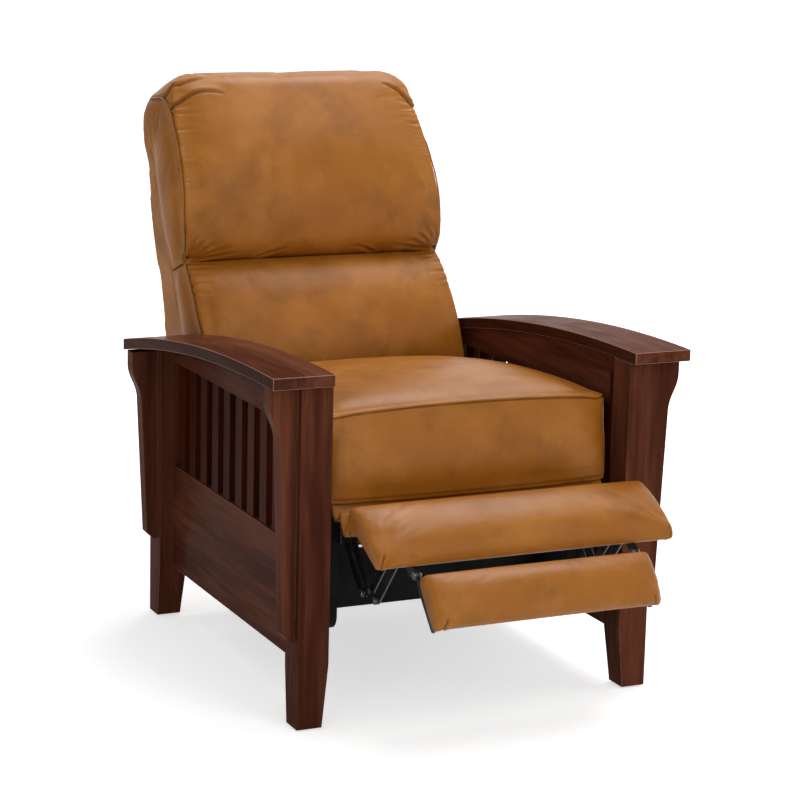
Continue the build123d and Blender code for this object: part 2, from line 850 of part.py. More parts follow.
def back_frame():
    # The lowest rail stops short of the stiles, which leaves room for the hinge plates.
    solids = both_sides(frame_member_solid(frame_low, frame_high, stile_inner_x, frame_half_width))
    rails = ((frame_low, front_layer_x), (frame_middle - frame_member / 2, stile_inner_x),
             (frame_high - frame_member, stile_inner_x))
    for low_up, rail_x in rails:
        solids.append(frame_member_solid(low_up, low_up + frame_member, -rail_x, rail_x))
    return solids


def back_webbing():
    made = []
    points = [behind_seam(frame_low, shell_gap), behind_seam(frame_low, shell_gap + webbing_thickness),
              behind_seam(frame_high, shell_gap + webbing_thickness), behind_seam(frame_high, shell_gap)]
    for index in range(back_strap_count):
        x = back_strap_spread * (index / (back_strap_count - 1) - 1 / 2)
        made.append(side_slab(polygon(points), x - back_strap_width / 2, x + back_strap_width / 2))
    return made


# Front outline of the back, cut through from front to rear along the recline
def back_plane():
    foot = back_point(0, lumbar_bulge_in - 2 * back_crown)
    lean = radians(recline_angle)
    return Plane(origin=(0, foot.X, foot.Y), x_dir=(1, 0, 0), z_dir=(0, cos(lean), -sin(lean)))


def back_outline(low_up, inset):
    # The plane's second axis points down the back, so heights are negated.
    def at(x, up):
        return (x, -up)
    wide, pinch = seat_half_width - inset, pinch_half_width - inset
    upper, top = head_upper_half_width - inset, head_top_half_width - inset
    high = back_top_up + overrun
    shoulder_up = high - head_corner_round
    corner_x = top - head_corner_round
    corner_cut = head_corner_round * (1 - sqrt(1 / 2))
    edges = [Line(at(-wide, low_up), at(wide, low_up)), Line(at(-corner_x, high), at(corner_x, high))]
    for side in (1, -1):
        foot, waist = at(side * wide, low_up), at(side * pinch, pinch_up)
        cheek, temple = at(side * upper, head_upper_up), at(side * top, shoulder_up)
        edges.append(ThreePointArc(foot, at(side * (wide + pinch) / 2, pinch_up * 2 / 3), waist))
        edges.append(ThreePointArc(waist, at(side * wide, head_full_up), cheek))
        edges.append(Line(cheek, temple))
        edges.append(ThreePointArc(temple, at(side * (top - corner_cut), high - corner_cut),
                                   at(side * corner_x, high)))
    return make_face(edges)


def back_prism(low_up, inset):
    depth = outside_back_in - lumbar_bulge_in + 4 * back_crown
    plane = back_plane()
    return extrude(plane * back_outline(low_up, inset), amount=depth, dir=plane.z_dir)


def lumbar_profile(crown_share):
    crown = back_crown * crown_share
    top_up = pinch_up - cushion_gap
    low = [back_point(0, lumbar_low_in - crown / 2), back_point(0, seam_in(0) - shell_gap)]
    bulge = back_point(lumbar_bulge_up, lumbar_bulge_in - crown)
    turn = back_point(lumbar_turn_up, lumbar_turn_in - crown)
    crest = back_point(lumbar_crest_up, lumbar_crest_in - crown)
    pinch = back_point(top_up, pinch_in - crown / 2)
    rear = back_point(top_up, seam_in(top_up) - shell_gap)
    return [ThreePointArc(low[0], bulge, turn), ThreePointArc(turn, crest, pinch),
            Line(pinch, rear), Line(rear, low[1]), Line(low[1], low[0])]


def head_profile(crown_share):
    crown = back_crown * crown_share
    low_up = pinch_up + cushion_gap
    seam_up = seam_top_up
    pinch = back_point(low_up, pinch_in - crown / 2)
    roll = back_point(head_roll_up, head_roll_in - crown)
    full = back_point(head_full_up, head_bulge_in - crown)
    upper = back_point(head_upper_up, head_shoulder_in - crown)
    mid_up = (head_full_up + head_upper_up) / 2
    chest = back_point(mid_up, head_bulge_in - crown)
    brow = back_point(head_brow_up, head_brow_in - crown / 2)
    top = back_point(back_top_up, head_top_in)
    back = back_point(head_back_up, head_back_in)
    seam = back_point(seam_up, seam_in(seam_up) - shell_gap)
    low_rear = back_point(low_up, seam_in(low_up) - shell_gap)
    return [ThreePointArc(pinch, roll, full), ThreePointArc(full, chest, upper), Line(upper, brow),
            ThreePointArc(brow, top, back), Line(back, seam), Line(seam, low_rear), Line(low_rear, pinch)]


def lumbar_cushion():
    return lofted(lumbar_profile, seat_half_width + overrun) & back_prism(-overrun, 0)


def headrest_cushion():
    return lofted(head_profile, seat_half_width + overrun) & back_prism(-overrun, 0)


# Outside back: a padded tray that wraps the frame, open at the foot
def back_shell():
    top_in = seam_in(seam_top_up)
    corners = [back_point(0, seam_in(0)), back_point(seam_top_up, top_in),
               back_point(back_top_up, outside_back_in), back_point(0, outside_back_in)]
    outer = side_slab(polygon(corners), -seat_half_width, seat_half_width) & back_prism(-overrun, shell_inset)
    inner_top = back_top_up - shell_wall
    inner_corners = [back_point(-overrun, seam_in(0) - overrun),
                     back_point(inner_top, seam_in(inner_top) - overrun),
                     back_point(inner_top, outside_back_in - shell_wall),
                     back_point(-overrun, outside_back_in - shell_wall)]
    core = side_slab(polygon(inner_corners), -seat_half_width, seat_half_width)
    return outer - (core & back_prism(-2 * overrun, shell_inset + shell_wall))


# Leather apron: a folded sheet that hangs from the seat border to the rear edge of the pad
def leather_apron():
    start = Vector(seat_border_front_y + apron_thickness, seat_border_low - apron_clearance - apron_thickness)
    end = pad_point(-apron_clearance, pad_side_thickness / 2)
    points = [start]
    steps = 2 * apron_fold_count
    for step in range(1, steps):
        place = start + (end - start) * (step / steps)
        drop = apron_fold_depth if step % 2 else 0
        points.append(place - Vector(0, drop))
    points.append(end)
    half = apron_thickness / 2
    upper = [p + Vector(0, half) for p in points]
    lower = [p - Vector(0, half) for p in points]
    return side_slab(polygon(upper + lower[::-1]), -apron_half_width, apron_half_width)


def build():
    keep_sides("arm", arm())
    for row, low_y, taper_front in (("front", front_post_y, False), ("rear", rear_post_y, True)):
        left_post, right_post = both_sides(post(low_y, taper_front))
        keep(row + "_left_post", left_post)
        keep(row + "_right_post", right_post)
        corbel_y = low_y + corbel_setback
        left_corbel, right_corbel = both_sides(corbel(corbel_y))
        keep(row + "_left_corbel", left_corbel)
        keep(row + "_right_corbel", right_corbel)
    keep_sides("side_panel", side_panel())
    keep_sides("upper_rail", upper_rail())
    made_slats = slats()
    keep("left_slats", [mirror(slat, Plane.YZ) for slat in made_slats])
    keep("right_slats", made_slats)
    keep("foot_glides", glides())
    keep("rear_stretcher", rear_stretcher())
    keep_sides("base_board", base_board())
    keep("cross_board", cross_board())
    keep("base_cleats", cleats())
    keep("seat_rails", seat_rails())
    keep("seat_webbing", seat_webbing())
    keep("seat_cushion", seat_cushion())
    keep_sides("mechanism_plate", mechanism_plate())
    keep("mechanism_screws", mechanism_screws())
    base_points = [base_pivot, control_base, tilt_pivot]
    keep("base_pivots", rivets(base_points, rear_layer_x, plate_layer_x, outer_head=False))
    keep("leather_apron", leather_apron())
    keep_sides("back_bracket", back_bracket())
    keep("back_cross_tube", cross_tube())
    keep("recline_pivots", rivets([recline_pivot], front_layer_x, rear_layer_x))
    keep_sides("back_hinge_plate", hinge_plate())
    keep("back_frame", back_frame())
    keep("back_webbing", back_webbing())
    keep("lumbar_cushion", lumbar_cushion())
    keep("headrest_cushion", headrest_cushion())
    keep("back_shell", back_shell())
    keep_sides("rear_link", rear_link())
    keep("drive_rod", drive_rod())
    keep("knee_pivots", rivets([knee_pivot, lift_knee], front_layer_x, rear_layer_x))
    keep("control_links", both_sides(control_link()))
    keep("control_pivots", rivets([control_knee], front_layer_x, rear_layer_x))
    keep_sides("front_link", front_link())
    keep("lift_links", both_sides(lift_link()))
    keep("footrest_pad", pad_solid(pad_point, pad_length, pad_half_width, pad_end_round))
    keep("footrest_board", pad_board(pad_point, pad_length, pad_half_width))
    keep_sides("footrest_bracket", footrest_bracket())
    keep("footrest_pivots", rivets([bracket_pivot, lift_pivot], bracket_layer_x, front_layer_x))
    keep("flip_pivots", rivets([flip_pivot], arm_layer_x, bracket_layer_x))
    keep("flip_pad", pad_solid(flip_point, flip_length, flip_half_width, flip_end_round))
    keep("flip_board", pad_board(flip_point, flip_length, flip_half_width))
    keep("flip_arms", both_sides(flip_arm()))


build()
low_y = min(solid.bounding_box().min.Y for solids in nodes.values() for solid in solids)
high_y = max(solid.bounding_box().max.Y for solids in nodes.values() for solid in solids)
origin_y = (low_y + high_y) / 2

os.makedirs("parts", exist_ok=True)
for node_name, solids in nodes.items():
    placed = [solid.moved(Location((0, -origin_y, 0))) for solid in solids]
    shape = placed[0] if len(placed) == 1 else Compound(children=placed)
    export_step(shape, os.path.join("parts", node_name + ".step"))
print("origin_y", round(origin_y, 3), "nodes", len(nodes))
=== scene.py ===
"""Looks of a slatted wooden armchair with leather cushions, a reclining back and a folding footrest.

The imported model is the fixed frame. Every length in a size field is in millimetres, in the chair's own
axes: X to the right, Y to the back from the arms' front ends, Z up from the floor.
"""

from __future__ import annotations

import json
import logging
import math
from dataclasses import dataclass
from enum import Enum
from functools import cache
from typing import Callable, Sequence

import bmesh
import bpy
import numpy as np
from mathutils import Matrix, Vector
from mathutils.bvhtree import BVHTree
from mathutils.kdtree import KDTree

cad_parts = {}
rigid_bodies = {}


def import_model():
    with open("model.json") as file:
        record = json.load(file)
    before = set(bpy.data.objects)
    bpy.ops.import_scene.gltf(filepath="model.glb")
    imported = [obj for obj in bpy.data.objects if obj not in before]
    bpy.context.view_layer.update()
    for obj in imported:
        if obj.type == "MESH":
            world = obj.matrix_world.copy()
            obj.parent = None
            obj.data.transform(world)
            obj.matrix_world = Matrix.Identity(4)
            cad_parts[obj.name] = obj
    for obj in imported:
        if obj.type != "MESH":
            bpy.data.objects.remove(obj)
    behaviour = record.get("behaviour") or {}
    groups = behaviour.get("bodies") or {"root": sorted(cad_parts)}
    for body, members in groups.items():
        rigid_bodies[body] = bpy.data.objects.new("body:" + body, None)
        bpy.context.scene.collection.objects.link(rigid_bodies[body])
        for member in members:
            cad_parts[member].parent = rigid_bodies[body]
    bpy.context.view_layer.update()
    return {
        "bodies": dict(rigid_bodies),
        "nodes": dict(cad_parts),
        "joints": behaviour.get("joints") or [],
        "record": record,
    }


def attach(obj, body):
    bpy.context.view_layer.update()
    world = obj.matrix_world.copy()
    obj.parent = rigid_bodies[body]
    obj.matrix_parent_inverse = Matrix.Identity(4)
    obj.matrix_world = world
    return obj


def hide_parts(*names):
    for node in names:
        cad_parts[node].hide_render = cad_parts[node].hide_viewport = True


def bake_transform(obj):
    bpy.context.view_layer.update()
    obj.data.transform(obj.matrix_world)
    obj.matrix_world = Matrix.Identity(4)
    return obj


log = logging.getLogger("armchair")

MM = 0.001
CHAIR_MIDDLE_Y = 394.816
WELD = 0.00001
SIDE_FACING = 0.72
Colour = tuple[float, float, float]
Line = Sequence[Vector]
Stations = Sequence[tuple[float, ...]]
Rule = Callable[..., np.ndarray]
Socket = bpy.types.NodeSocket
Tree = bpy.types.NodeTree
Material = bpy.types.Material
Mesh = bpy.types.Mesh
Object = bpy.types.Object


class Along(Enum):
    """The way the wood grain of a piece runs."""

    ACROSS = 0
    DEPTH = 1
    HEIGHT = 2


def place(x: float, y: float, z: float) -> Vector:
    """Returns a point of the chair's axes, given in millimetres, in the model's metres."""
    return Vector((x * MM, (y - CHAIR_MIDDLE_Y) * MM, z * MM))


def unit(values: np.ndarray) -> np.ndarray:
    """Returns values cut to the span from 0 to 1."""
    return np.clip(values, 0, 1)


def add_object(name: str, data: bpy.types.ID) -> Object:
    """Returns a new object in the scene."""
    made = bpy.data.objects.new(name, data)
    bpy.context.scene.collection.objects.link(made)
    return made


def mesh_of(name: str, shape: bmesh.types.BMesh) -> Mesh:
    """Turns a shape into a mesh and frees it."""
    mesh = bpy.data.meshes.new(name)
    shape.to_mesh(mesh)
    shape.free()
    return mesh


def rows(items: bpy.types.bpy_prop_collection, name: str = "co") -> np.ndarray:
    """Returns a vector of each of a mesh's items as an array of rows."""
    flat = np.empty(len(items) * 3)
    items.foreach_get(name, flat)
    return flat.reshape(-1, 3)


def move_to(mesh: Mesh, points: np.ndarray) -> None:
    """Puts a mesh's vertices at new places."""
    mesh.vertices.foreach_set("co", points.ravel())
    mesh.update()


def round_off(mesh: Mesh) -> None:
    """Shades a mesh smoothly."""
    mesh.polygons.foreach_set("use_smooth", np.ones(len(mesh.polygons), dtype=bool))


def shaped(obj: Object, kind: str, **settings: object) -> None:
    """Gives an object a modifier and applies it to its mesh."""
    modifier = obj.modifiers.new(kind.lower(), kind)
    for name, value in settings.items():
        setattr(modifier, name, value)
    mesh = bpy.data.meshes.new_from_object(obj.evaluated_get(bpy.context.evaluated_depsgraph_get()))
    worn = obj.data
    obj.modifiers.clear()
    obj.data = mesh
    bpy.data.meshes.remove(worn)


# Shader groups


class Nodes:
    """Adds and joins nodes in one node tree."""

    def __init__(self, tree: Tree) -> None:
        """Keeps the tree that the nodes go into."""
        self.tree = tree

    def put(self, value: object, socket: Socket) -> None:
        """Links an input to another node's output, or sets it to a number, a vector or a colour."""
        if isinstance(value, Socket):
            self.tree.links.new(value, socket)
        else:
            socket.default_value = (*value, 1.0) if socket.type == "RGBA" else value

    def add(self, kind: str, inputs: dict[int | str, object] | None = None, **settings: object) -> bpy.types.Node:
        """Adds a node.

        Args:
            kind: the node's type, without its ShaderNode prefix.
            inputs: what feeds its inputs, by name or place.
            settings: its properties.

        Returns:
            The node.
        """
        node = self.tree.nodes.new(f"ShaderNode{kind}")
        for name, value in settings.items():
            setattr(node, name, value)
        for key, value in (inputs or {}).items():
            self.put(value, node.inputs[key])
        return node

    def math(self, operation: str, *values: object, clamp: bool = False) -> Socket:
        """Returns the output of a Math node fed by sockets or plain numbers."""
        return self.add("Math", dict(enumerate(values)), operation=operation, use_clamp=clamp).outputs[0]

    def times(self, first: object, second: object) -> Socket:
        """Returns a product."""
        return self.math("MULTIPLY", first, second)

    def plus(self, first: object, second: object) -> Socket:
        """Returns a sum."""
        return self.math("ADD", first, second)

    def noise(self, vector: Socket, scale: object, detail: float, rough: float = 0.5) -> Socket:
        """Returns a noise pattern on a vector."""
        inputs = {"Vector": vector, "Scale": scale, "Detail": detail, "Roughness": rough}
        return self.add("TexNoise", inputs).outputs["Fac"]

    def ramp(self, value: Socket, low: float, high: float) -> Socket:
        """Returns a value with low to high turned into 0 to 1, smoothly."""
        return self.add("MapRange", {"Value": value, "From Min": low, "From Max": high},
                        interpolation_type="SMOOTHSTEP").outputs["Result"]

    def mix(self, factor: object, first: object, second: object) -> Socket:
        """Returns a blend of two colours."""
        return self.add("Mix", {0: factor, 6: first, 7: second}, data_type="RGBA").outputs[2]

    def normal(self) -> Socket:
        """Returns the surface's own normal."""
        return self.add("NewGeometry").outputs["Normal"]

    def seen(self) -> Socket:
        """Returns 1 for rays from the camera and for the ones it sees in a gloss or through glass."""
        rays = self.add("LightPath").outputs
        others = self.math("MAXIMUM", rays["Is Glossy Ray"], rays["Is Transmission Ray"])
        return self.math("MAXIMUM", rays["Is Camera Ray"], others)


class Group(Nodes):
    """A shader node group under construction."""

    def __init__(self, name: str, **inputs: float | Colour) -> None:
        """Starts a group with a vector and other inputs, given with their defaults."""
        super().__init__(bpy.data.node_groups.new(name, "ShaderNodeTree"))
        sockets = self.tree.interface
        sockets.new_socket(name="Vector", in_out="INPUT", socket_type="NodeSocketVector")
        for label, value in inputs.items():
            kind, default = ("Color", (*value, 1.0)) if isinstance(value, tuple) else ("Float", value)
            socket = sockets.new_socket(name=label, in_out="INPUT", socket_type=f"NodeSocket{kind}")
            socket.default_value = default
        self.inputs = self.tree.nodes.new("NodeGroupInput").outputs
        self.vector = self.inputs["Vector"]

    def close(self, **outputs: Socket) -> Tree:
        """Adds the outputs, a colour where the name says so, and returns the group."""
        for label in outputs:
            kind = "Color" if label == "Colour" else "Float"
            self.tree.interface.new_socket(name=label, in_out="OUTPUT", socket_type=f"NodeSocket{kind}")
        sink = self.tree.nodes.new("NodeGroupOutput")
        for label, value in outputs.items():
            self.put(value, sink.inputs[label])
        return self.tree


@cache
def edge_wear_and_highlight() -> Tree:
    """Returns the group that finds the edges of a piece: for wear on steel, and for a painted highlight on wood."""
    group = Group("edge_wear_and_highlight", Width=0.002, Breakup=60.0)
    bevel = group.add("Bevel", {"Radius": group.inputs["Width"]}, samples=6).outputs[0]
    dot = group.add("VectorMath", {0: bevel, 1: group.normal()}, operation="DOT_PRODUCT").outputs["Value"]
    edge = group.ramp(group.math("SUBTRACT", 1.0, dot), 0.02, 0.22)
    broken = group.noise(group.vector, group.inputs["Breakup"], 4.0, 0.6)
    return group.close(Mask=group.times(edge, group.ramp(broken, 0.25, 0.5)))


@cache
def wood_grain() -> Tree:
    """Returns the group for straight grain with fine pores, along a stretched vector."""
    group = Group("wood_grain")
    broad = group.noise(group.vector, 14.0, 4.0, 0.55)
    fine = group.noise(group.vector, 90.0, 3.0, 0.6)
    figure = group.plus(group.times(broad, 0.65), group.times(fine, 0.35))
    return group.close(Figure=group.ramp(figure, 0.36, 0.66),
                       Pores=group.ramp(group.noise(group.vector, 260.0, 2.0), 0.56, 0.7),
                       Tone=group.ramp(group.noise(group.vector, 3.0, 2.0), 0.3, 0.7))


@cache
def hide_mottle() -> Tree:
    """Returns the group for the cloudy colour of a rubbed, waxed hide: pale patches, dark ones and flecks."""
    group = Group("hide_mottle", Light=(0.5, 0.3, 0.15), Middle=(0.4, 0.2, 0.08), Dark=(0.2, 0.09, 0.03))
    colour = group.inputs["Middle"]
    for tint, scale, detail, rough, low, high, share in (
            ("Light", 6.0, 6.0, 0.6, 0.44, 0.64, 0.75), ("Dark", 13.0, 5.0, 0.62, 0.47, 0.72, 0.55),
            ("Dark", 150.0, 4.0, 0.65, 0.52, 0.75, 0.12)):
        patch = group.ramp(group.noise(group.vector, scale, detail, rough), low, high)
        colour = group.mix(group.times(patch, share), colour, group.inputs[tint])
    return group.close(Colour=colour)


@cache
def pebble() -> Tree:
    """Returns the group for the height of fine leather grain and its hairline creases."""
    group = Group("pebble", Scale=700.0)
    cells = group.add("TexVoronoi", {"Vector": group.vector, "Scale": group.inputs["Scale"]},
                      feature="DISTANCE_TO_EDGE").outputs["Distance"]
    soft = group.noise(group.vector, 160.0, 5.0, 0.65)
    return group.close(Height=group.plus(group.times(group.ramp(cells, 0.0, 0.25), 0.4), soft))


@cache
def wrinkle() -> Tree:
    """Returns the group for fine creases that run across a seam, strong where the amount is high."""
    group = Group("wrinkle", Amount=0.0)
    drawn = group.add("Mapping", {"Vector": group.vector, "Scale": (0.16, 1.0, 1.0)}).outputs[0]
    folds = group.ramp(group.noise(drawn, 150.0, 3.0, 0.55), 0.35, 0.65)
    return group.close(Height=group.times(folds, group.inputs["Amount"]))


@cache
def dust() -> Tree:
    """Returns the group for faint uneven gloss, as on handled or dusty surfaces."""
    group = Group("dust", Scale=30.0, Low=0.3, High=0.5)
    cloud = group.ramp(group.noise(group.vector, group.inputs["Scale"], 5.0, 0.6), 0.3, 0.7)
    span = group.math("SUBTRACT", group.inputs["High"], group.inputs["Low"])
    return group.close(Roughness=group.plus(group.inputs["Low"], group.times(cloud, span)))


# Finishes


class Finish(Nodes):
    """A material under construction, with its patterns on Object coordinates."""

    def __init__(self, name: str, stretch: Colour = (1.0, 1.0, 1.0)) -> None:
        """Starts a node material, whose second vector is stretched along each axis."""
        self.material = bpy.data.materials.new(name)
        self.material.use_nodes = True
        super().__init__(self.material.node_tree)
        self.shader = self.tree.nodes["Principled BSDF"]
        self.plain = self.add("TexCoord").outputs["Object"]
        self.vector = self.add("Mapping", {"Vector": self.plain, "Scale": stretch}).outputs[0]

    def group(self, tree: Tree, vector: Socket, **values: object) -> bpy.types.NodeOutputs:
        """Places a shared group on a vector, feeds its other inputs by name and returns its outputs."""
        return self.add("Group", {"Vector": vector, **values}, node_tree=tree).outputs

    def feed(self, name: str, value: object) -> None:
        """Links or sets one of the shader's sockets."""
        self.put(value, self.shader.inputs[name])

    def gloss(self, scale: float, low: float, high: float) -> Socket:
        """Makes the surface's roughness uneven, between two values, and returns it."""
        rough = self.group(dust(), self.plain, Scale=scale, Low=low, High=high)["Roughness"]
        self.feed("Roughness", rough)
        return rough

    def bump(self, height: Socket, strength: float, distance: float) -> None:
        """Feeds the shader's normal from a height."""
        inputs = {"Strength": strength, "Distance": distance, "Height": height}
        self.feed("Normal", self.add("Bump", inputs).outputs[0])


@dataclass(frozen=True)
class StainedWood:
    """Dark red-brown stained hardwood under satin lacquer, with a painted highlight on its edges and corners and,
    where the side shade is set, painted shade on its sides.
    """

    name: str = "stained_wood"
    deep: Colour = (0.056, 0.0155, 0.0085)
    warm: Colour = (0.155, 0.051, 0.027)
    # the colour of the edges and corners: a painted highlight, with a little rubbed wear
    wear_and_highlight: Colour = (0.36, 0.2, 0.15)
    edge: float = 0.0024
    # how strongly painted shade darkens the faces that look to the sides
    side_shade: float = 0.0

    def corners(self, finish: Finish, colour: Socket) -> Socket:
        """Returns the colour with painted shade on its sides, where the side shade is set, and a painted highlight on
        its corners.
        """
        parts = finish.add("SeparateXYZ", {0: finish.normal()}).outputs
        sizes = [finish.math("ABSOLUTE", parts[axis]) for axis in "XYZ"]
        # painted shade on the faces that look to the left or right
        dull = finish.times(finish.ramp(sizes[0], 0.6, 0.9), self.side_shade)
        colour = finish.mix(dull, colour, tuple(c * 0.25 for c in self.deep))
        # painted highlight where the normal leans off every axis, on the rounded corners
        most = finish.math("MAXIMUM", sizes[0], finish.math("MAXIMUM", sizes[1], sizes[2]))
        corner = finish.ramp(finish.math("SUBTRACT", 1.0, most), 0.09, 0.2)
        return finish.mix(finish.times(corner, 0.8), colour, self.wear_and_highlight)

    def build(self, along: Along) -> Material:
        """Returns the wood with its grain along one axis."""
        stretch = tuple(0.07 if way is along else 1.0 for way in Along)
        finish = Finish(f"{self.name}_{along.name.lower()}", stretch)
        grain = finish.group(wood_grain(), finish.vector)
        # the edges that get the painted highlight, with a little rubbed wear
        edge_mask = finish.group(edge_wear_and_highlight(), finish.plain, Width=self.edge, Breakup=14.0)["Mask"]
        colour = finish.mix(grain["Figure"], self.deep, self.warm)
        colour = finish.mix(finish.times(grain["Tone"], 0.35), colour, self.deep)
        if self.side_shade:
            colour = self.corners(finish, colour)
        finish.feed("Base Color", finish.mix(finish.times(edge_mask, 0.75), colour, self.wear_and_highlight))
        finish.gloss(9.0, 0.24, 0.36)
        finish.bump(grain["Pores"], 0.1, 0.0003)
        finish.feed("Specular IOR Level", 0.005)
        return finish.material


@dataclass(frozen=True)
class WaxedLeather:
    """Caramel leather with cloudy rub-off colour, fine grain and painted shade in its folds."""

    name: str = "waxed_leather"
    light: Colour = (0.385, 0.148, 0.024)
    middle: Colour = (0.3, 0.103, 0.0095)
    dark: Colour = (0.175, 0.06, 0.006)
    # the colour of the painted shade in creases and seams
    crease_shade: Colour = (0.035, 0.009, 0.002)
    shine: float = 0.17

    def build(self) -> Material:
        """Returns the leather, darkened by painted shade in its creases where that attribute is high, wrinkled where
        pucker is.
        """
        finish = Finish(self.name)
        hide = finish.group(hide_mottle(), finish.plain, Light=self.light, Middle=self.middle, Dark=self.dark)
        crease_shade, pucker = (finish.add("Attribute", attribute_name=name).outputs["Fac"] for name in ("crease_shade", "pucker"))
        # painted shade: the leather darkens towards the crease colour where the attribute is high
        depth = finish.math("MULTIPLY", crease_shade, 0.9, clamp=True)
        finish.feed("Base Color", finish.mix(depth, hide["Colour"], self.crease_shade))
        finish.gloss(22.0, 0.3, 0.4)
        grain = finish.group(pebble(), finish.plain, Scale=620.0)["Height"]
        creases = finish.group(wrinkle(), finish.plain, Amount=pucker)["Height"]
        finish.bump(finish.plus(finish.times(grain, 0.16), creases), 0.6, 0.0016)
        finish.feed("Specular IOR Level", self.shine)
        return finish.material


def painted_steel(paint: Colour = (0.006, 0.006, 0.008), bare: Colour = (0.22, 0.22, 0.23)) -> Material:
    """Returns black lacquered steel with bright wear on its edges."""
    finish = Finish("painted_steel")
    edge_mask = finish.group(edge_wear_and_highlight(), finish.plain, Width=0.0009, Breakup=140.0)["Mask"]
    mask = finish.times(edge_mask, 0.7)
    finish.feed("Base Color", finish.mix(mask, paint, bare))
    finish.feed("Metallic", mask)
    finish.bump(finish.gloss(60.0, 0.28, 0.46), 0.1, 0.0004)
    return finish.material


def bare_steel(name: str, colour: Colour, low_gloss: float = 0.22, high_gloss: float = 0.4) -> Material:
    """Returns zinc-bright or polished steel with fine drawn lines."""
    finish = Finish(name, (6.0, 60.0, 60.0))
    lines = finish.noise(finish.vector, 12.0, 3.0)
    finish.feed("Base Color", finish.mix(lines, colour, tuple(c * 0.8 for c in colour)))
    finish.feed("Metallic", 1.0)
    finish.gloss(80.0, low_gloss, high_gloss)
    finish.bump(lines, 0.08, 0.0002)
    return finish.material


# The near-zero black stands for the shade under the seat as well as for the paint.
def black_board(colour: Colour = (0.0025, 0.0024, 0.0024), dusty: Colour = (0.007, 0.0066, 0.0064)) -> Material:
    """Returns board painted dull black, with its black deepened as painted shade, and with a faint nap and dust."""
    finish = Finish("black_board")
    cloud = finish.ramp(finish.noise(finish.plain, 11.0, 5.0), 0.45, 0.75)
    finish.feed("Base Color", finish.mix(cloud, colour, dusty))
    finish.gloss(14.0, 0.62, 0.8)
    finish.bump(finish.noise(finish.plain, 900.0, 2.0), 0.1, 0.0003)
    finish.feed("Specular IOR Level", 0.12)
    return finish.material


def raw_wood(light: Colour = (0.45, 0.3, 0.17), dark: Colour = (0.3, 0.18, 0.09)) -> Material:
    """Returns unfinished frame timber."""
    finish = Finish("raw_wood", (0.1, 1.0, 1.0))
    grain = finish.group(wood_grain(), finish.vector)
    finish.feed("Base Color", finish.mix(grain["Figure"], dark, light))
    finish.feed("Roughness", 0.75)
    finish.bump(grain["Pores"], 0.2, 0.0003)
    return finish.material


def woven_strap(warp: Colour = (0.03, 0.03, 0.032), weft: Colour = (0.1, 0.1, 0.1)) -> Material:
    """Returns black elastic webbing, woven along and across the straps."""
    finish = Finish("woven_strap")
    threads = {"Scale": 130.0, "Vector": finish.plain}
    across, along = (finish.add("TexWave", threads, bands_direction=way).outputs["Fac"] for way in "XY")
    height = finish.math("MAXIMUM", across, along)
    finish.feed("Base Color", finish.mix(height, warp, weft))
    finish.gloss(40.0, 0.7, 0.9)
    finish.bump(height, 0.5, 0.0006)
    return finish.material


def glide_plastic(colour: Colour = (0.02, 0.02, 0.02), scuffed: Colour = (0.06, 0.06, 0.06)) -> Material:
    """Returns scuffed black nylon."""
    finish = Finish("glide_plastic")
    cloud = finish.ramp(finish.noise(finish.plain, 90.0, 4.0), 0.45, 0.7)
    finish.feed("Base Color", finish.mix(cloud, colour, scuffed))
    finish.gloss(90.0, 0.45, 0.7)
    return finish.material


# Lines on soft goods


def ripple(s: np.ndarray, pitch: float, seed: float) -> np.ndarray:
    """Returns an uneven wave of the given pitch over distances s."""
    turn = 2 * math.pi * s / pitch
    wave = np.sin(turn + seed) * 0.5 + np.sin(turn * 0.61 + seed * 2.3) * 0.3
    return wave + np.sin(turn * 1.73 + seed * 0.7) * 0.2


def resample(points: Line, step: float) -> tuple[list[Vector], list[float]]:
    """Divides a polyline evenly.

    Args:
        points: the polyline's points.
        step: the distance between samples.

    Returns:
        The samples and their distances from the start.
    """
    made, places, start = [], [], 0.0
    for first, second in zip(points, points[1:]):
        length = (second - first).length
        count = max(1, round(length / step))
        for index in range(count):
            made.append(first.lerp(second, index / count))
            places.append(start + length * index / count)
        start += length
    made.append(points[-1].copy())
    places.append(start)
    return made, places


def smooth_line(points: Line, times: int = 3) -> list[Vector]:
    """Rounds a polyline's corners by cutting them, with its ends kept."""
    line = [point.copy() for point in points]
    for _ in range(times):
        cut = [line[0]]
        for first, second in zip(line, line[1:]):
            cut += [first.lerp(second, 0.25), first.lerp(second, 0.75)]
        line = [*cut, line[-1]]
    return line


def flipped(points: Line) -> list[Vector]:
    """Returns a line mirrored to the chair's other side."""
    return [Vector((-point.x, point.y, point.z)) for point in points]


def search_tree(samples: Line) -> KDTree:
    """Returns a tree that finds the sample nearest to a point."""
    tree = KDTree(len(samples))
    for index, sample in enumerate(samples):
        tree.insert(sample, index)
    tree.balance()
    return tree


def sewn_at(points: np.ndarray, lines: Sequence[Line], reach: float) -> np.ndarray:
    """Returns 1 on the nearest of some seams, fading to 0 over a reach in millimetres."""
    tree = search_tree([sample for line in lines for sample in resample(line, 0.004)[0]])
    away = np.array([tree.find(point)[2] for point in points])
    return np.exp(-(away / (reach * MM)) ** 2)


@dataclass(frozen=True)
class Stuffing:
    """How a leather cover swells over its filling in the cloth simulation, in millimetres."""

    most: float
    pressure: float
    gain: float = 1.3
    inset: float = 2.0
    extra_leather: float = 0.004
    smoothing: int = 14
    creasing: float = 0.35
    steps: int = 16


@dataclass(frozen=True)
class Nearby:
    """A skin's points near a line: how far off, how far along its length and past its nearest samples."""

    away: np.ndarray
    along: np.ndarray
    length: float
    offsets: np.ndarray


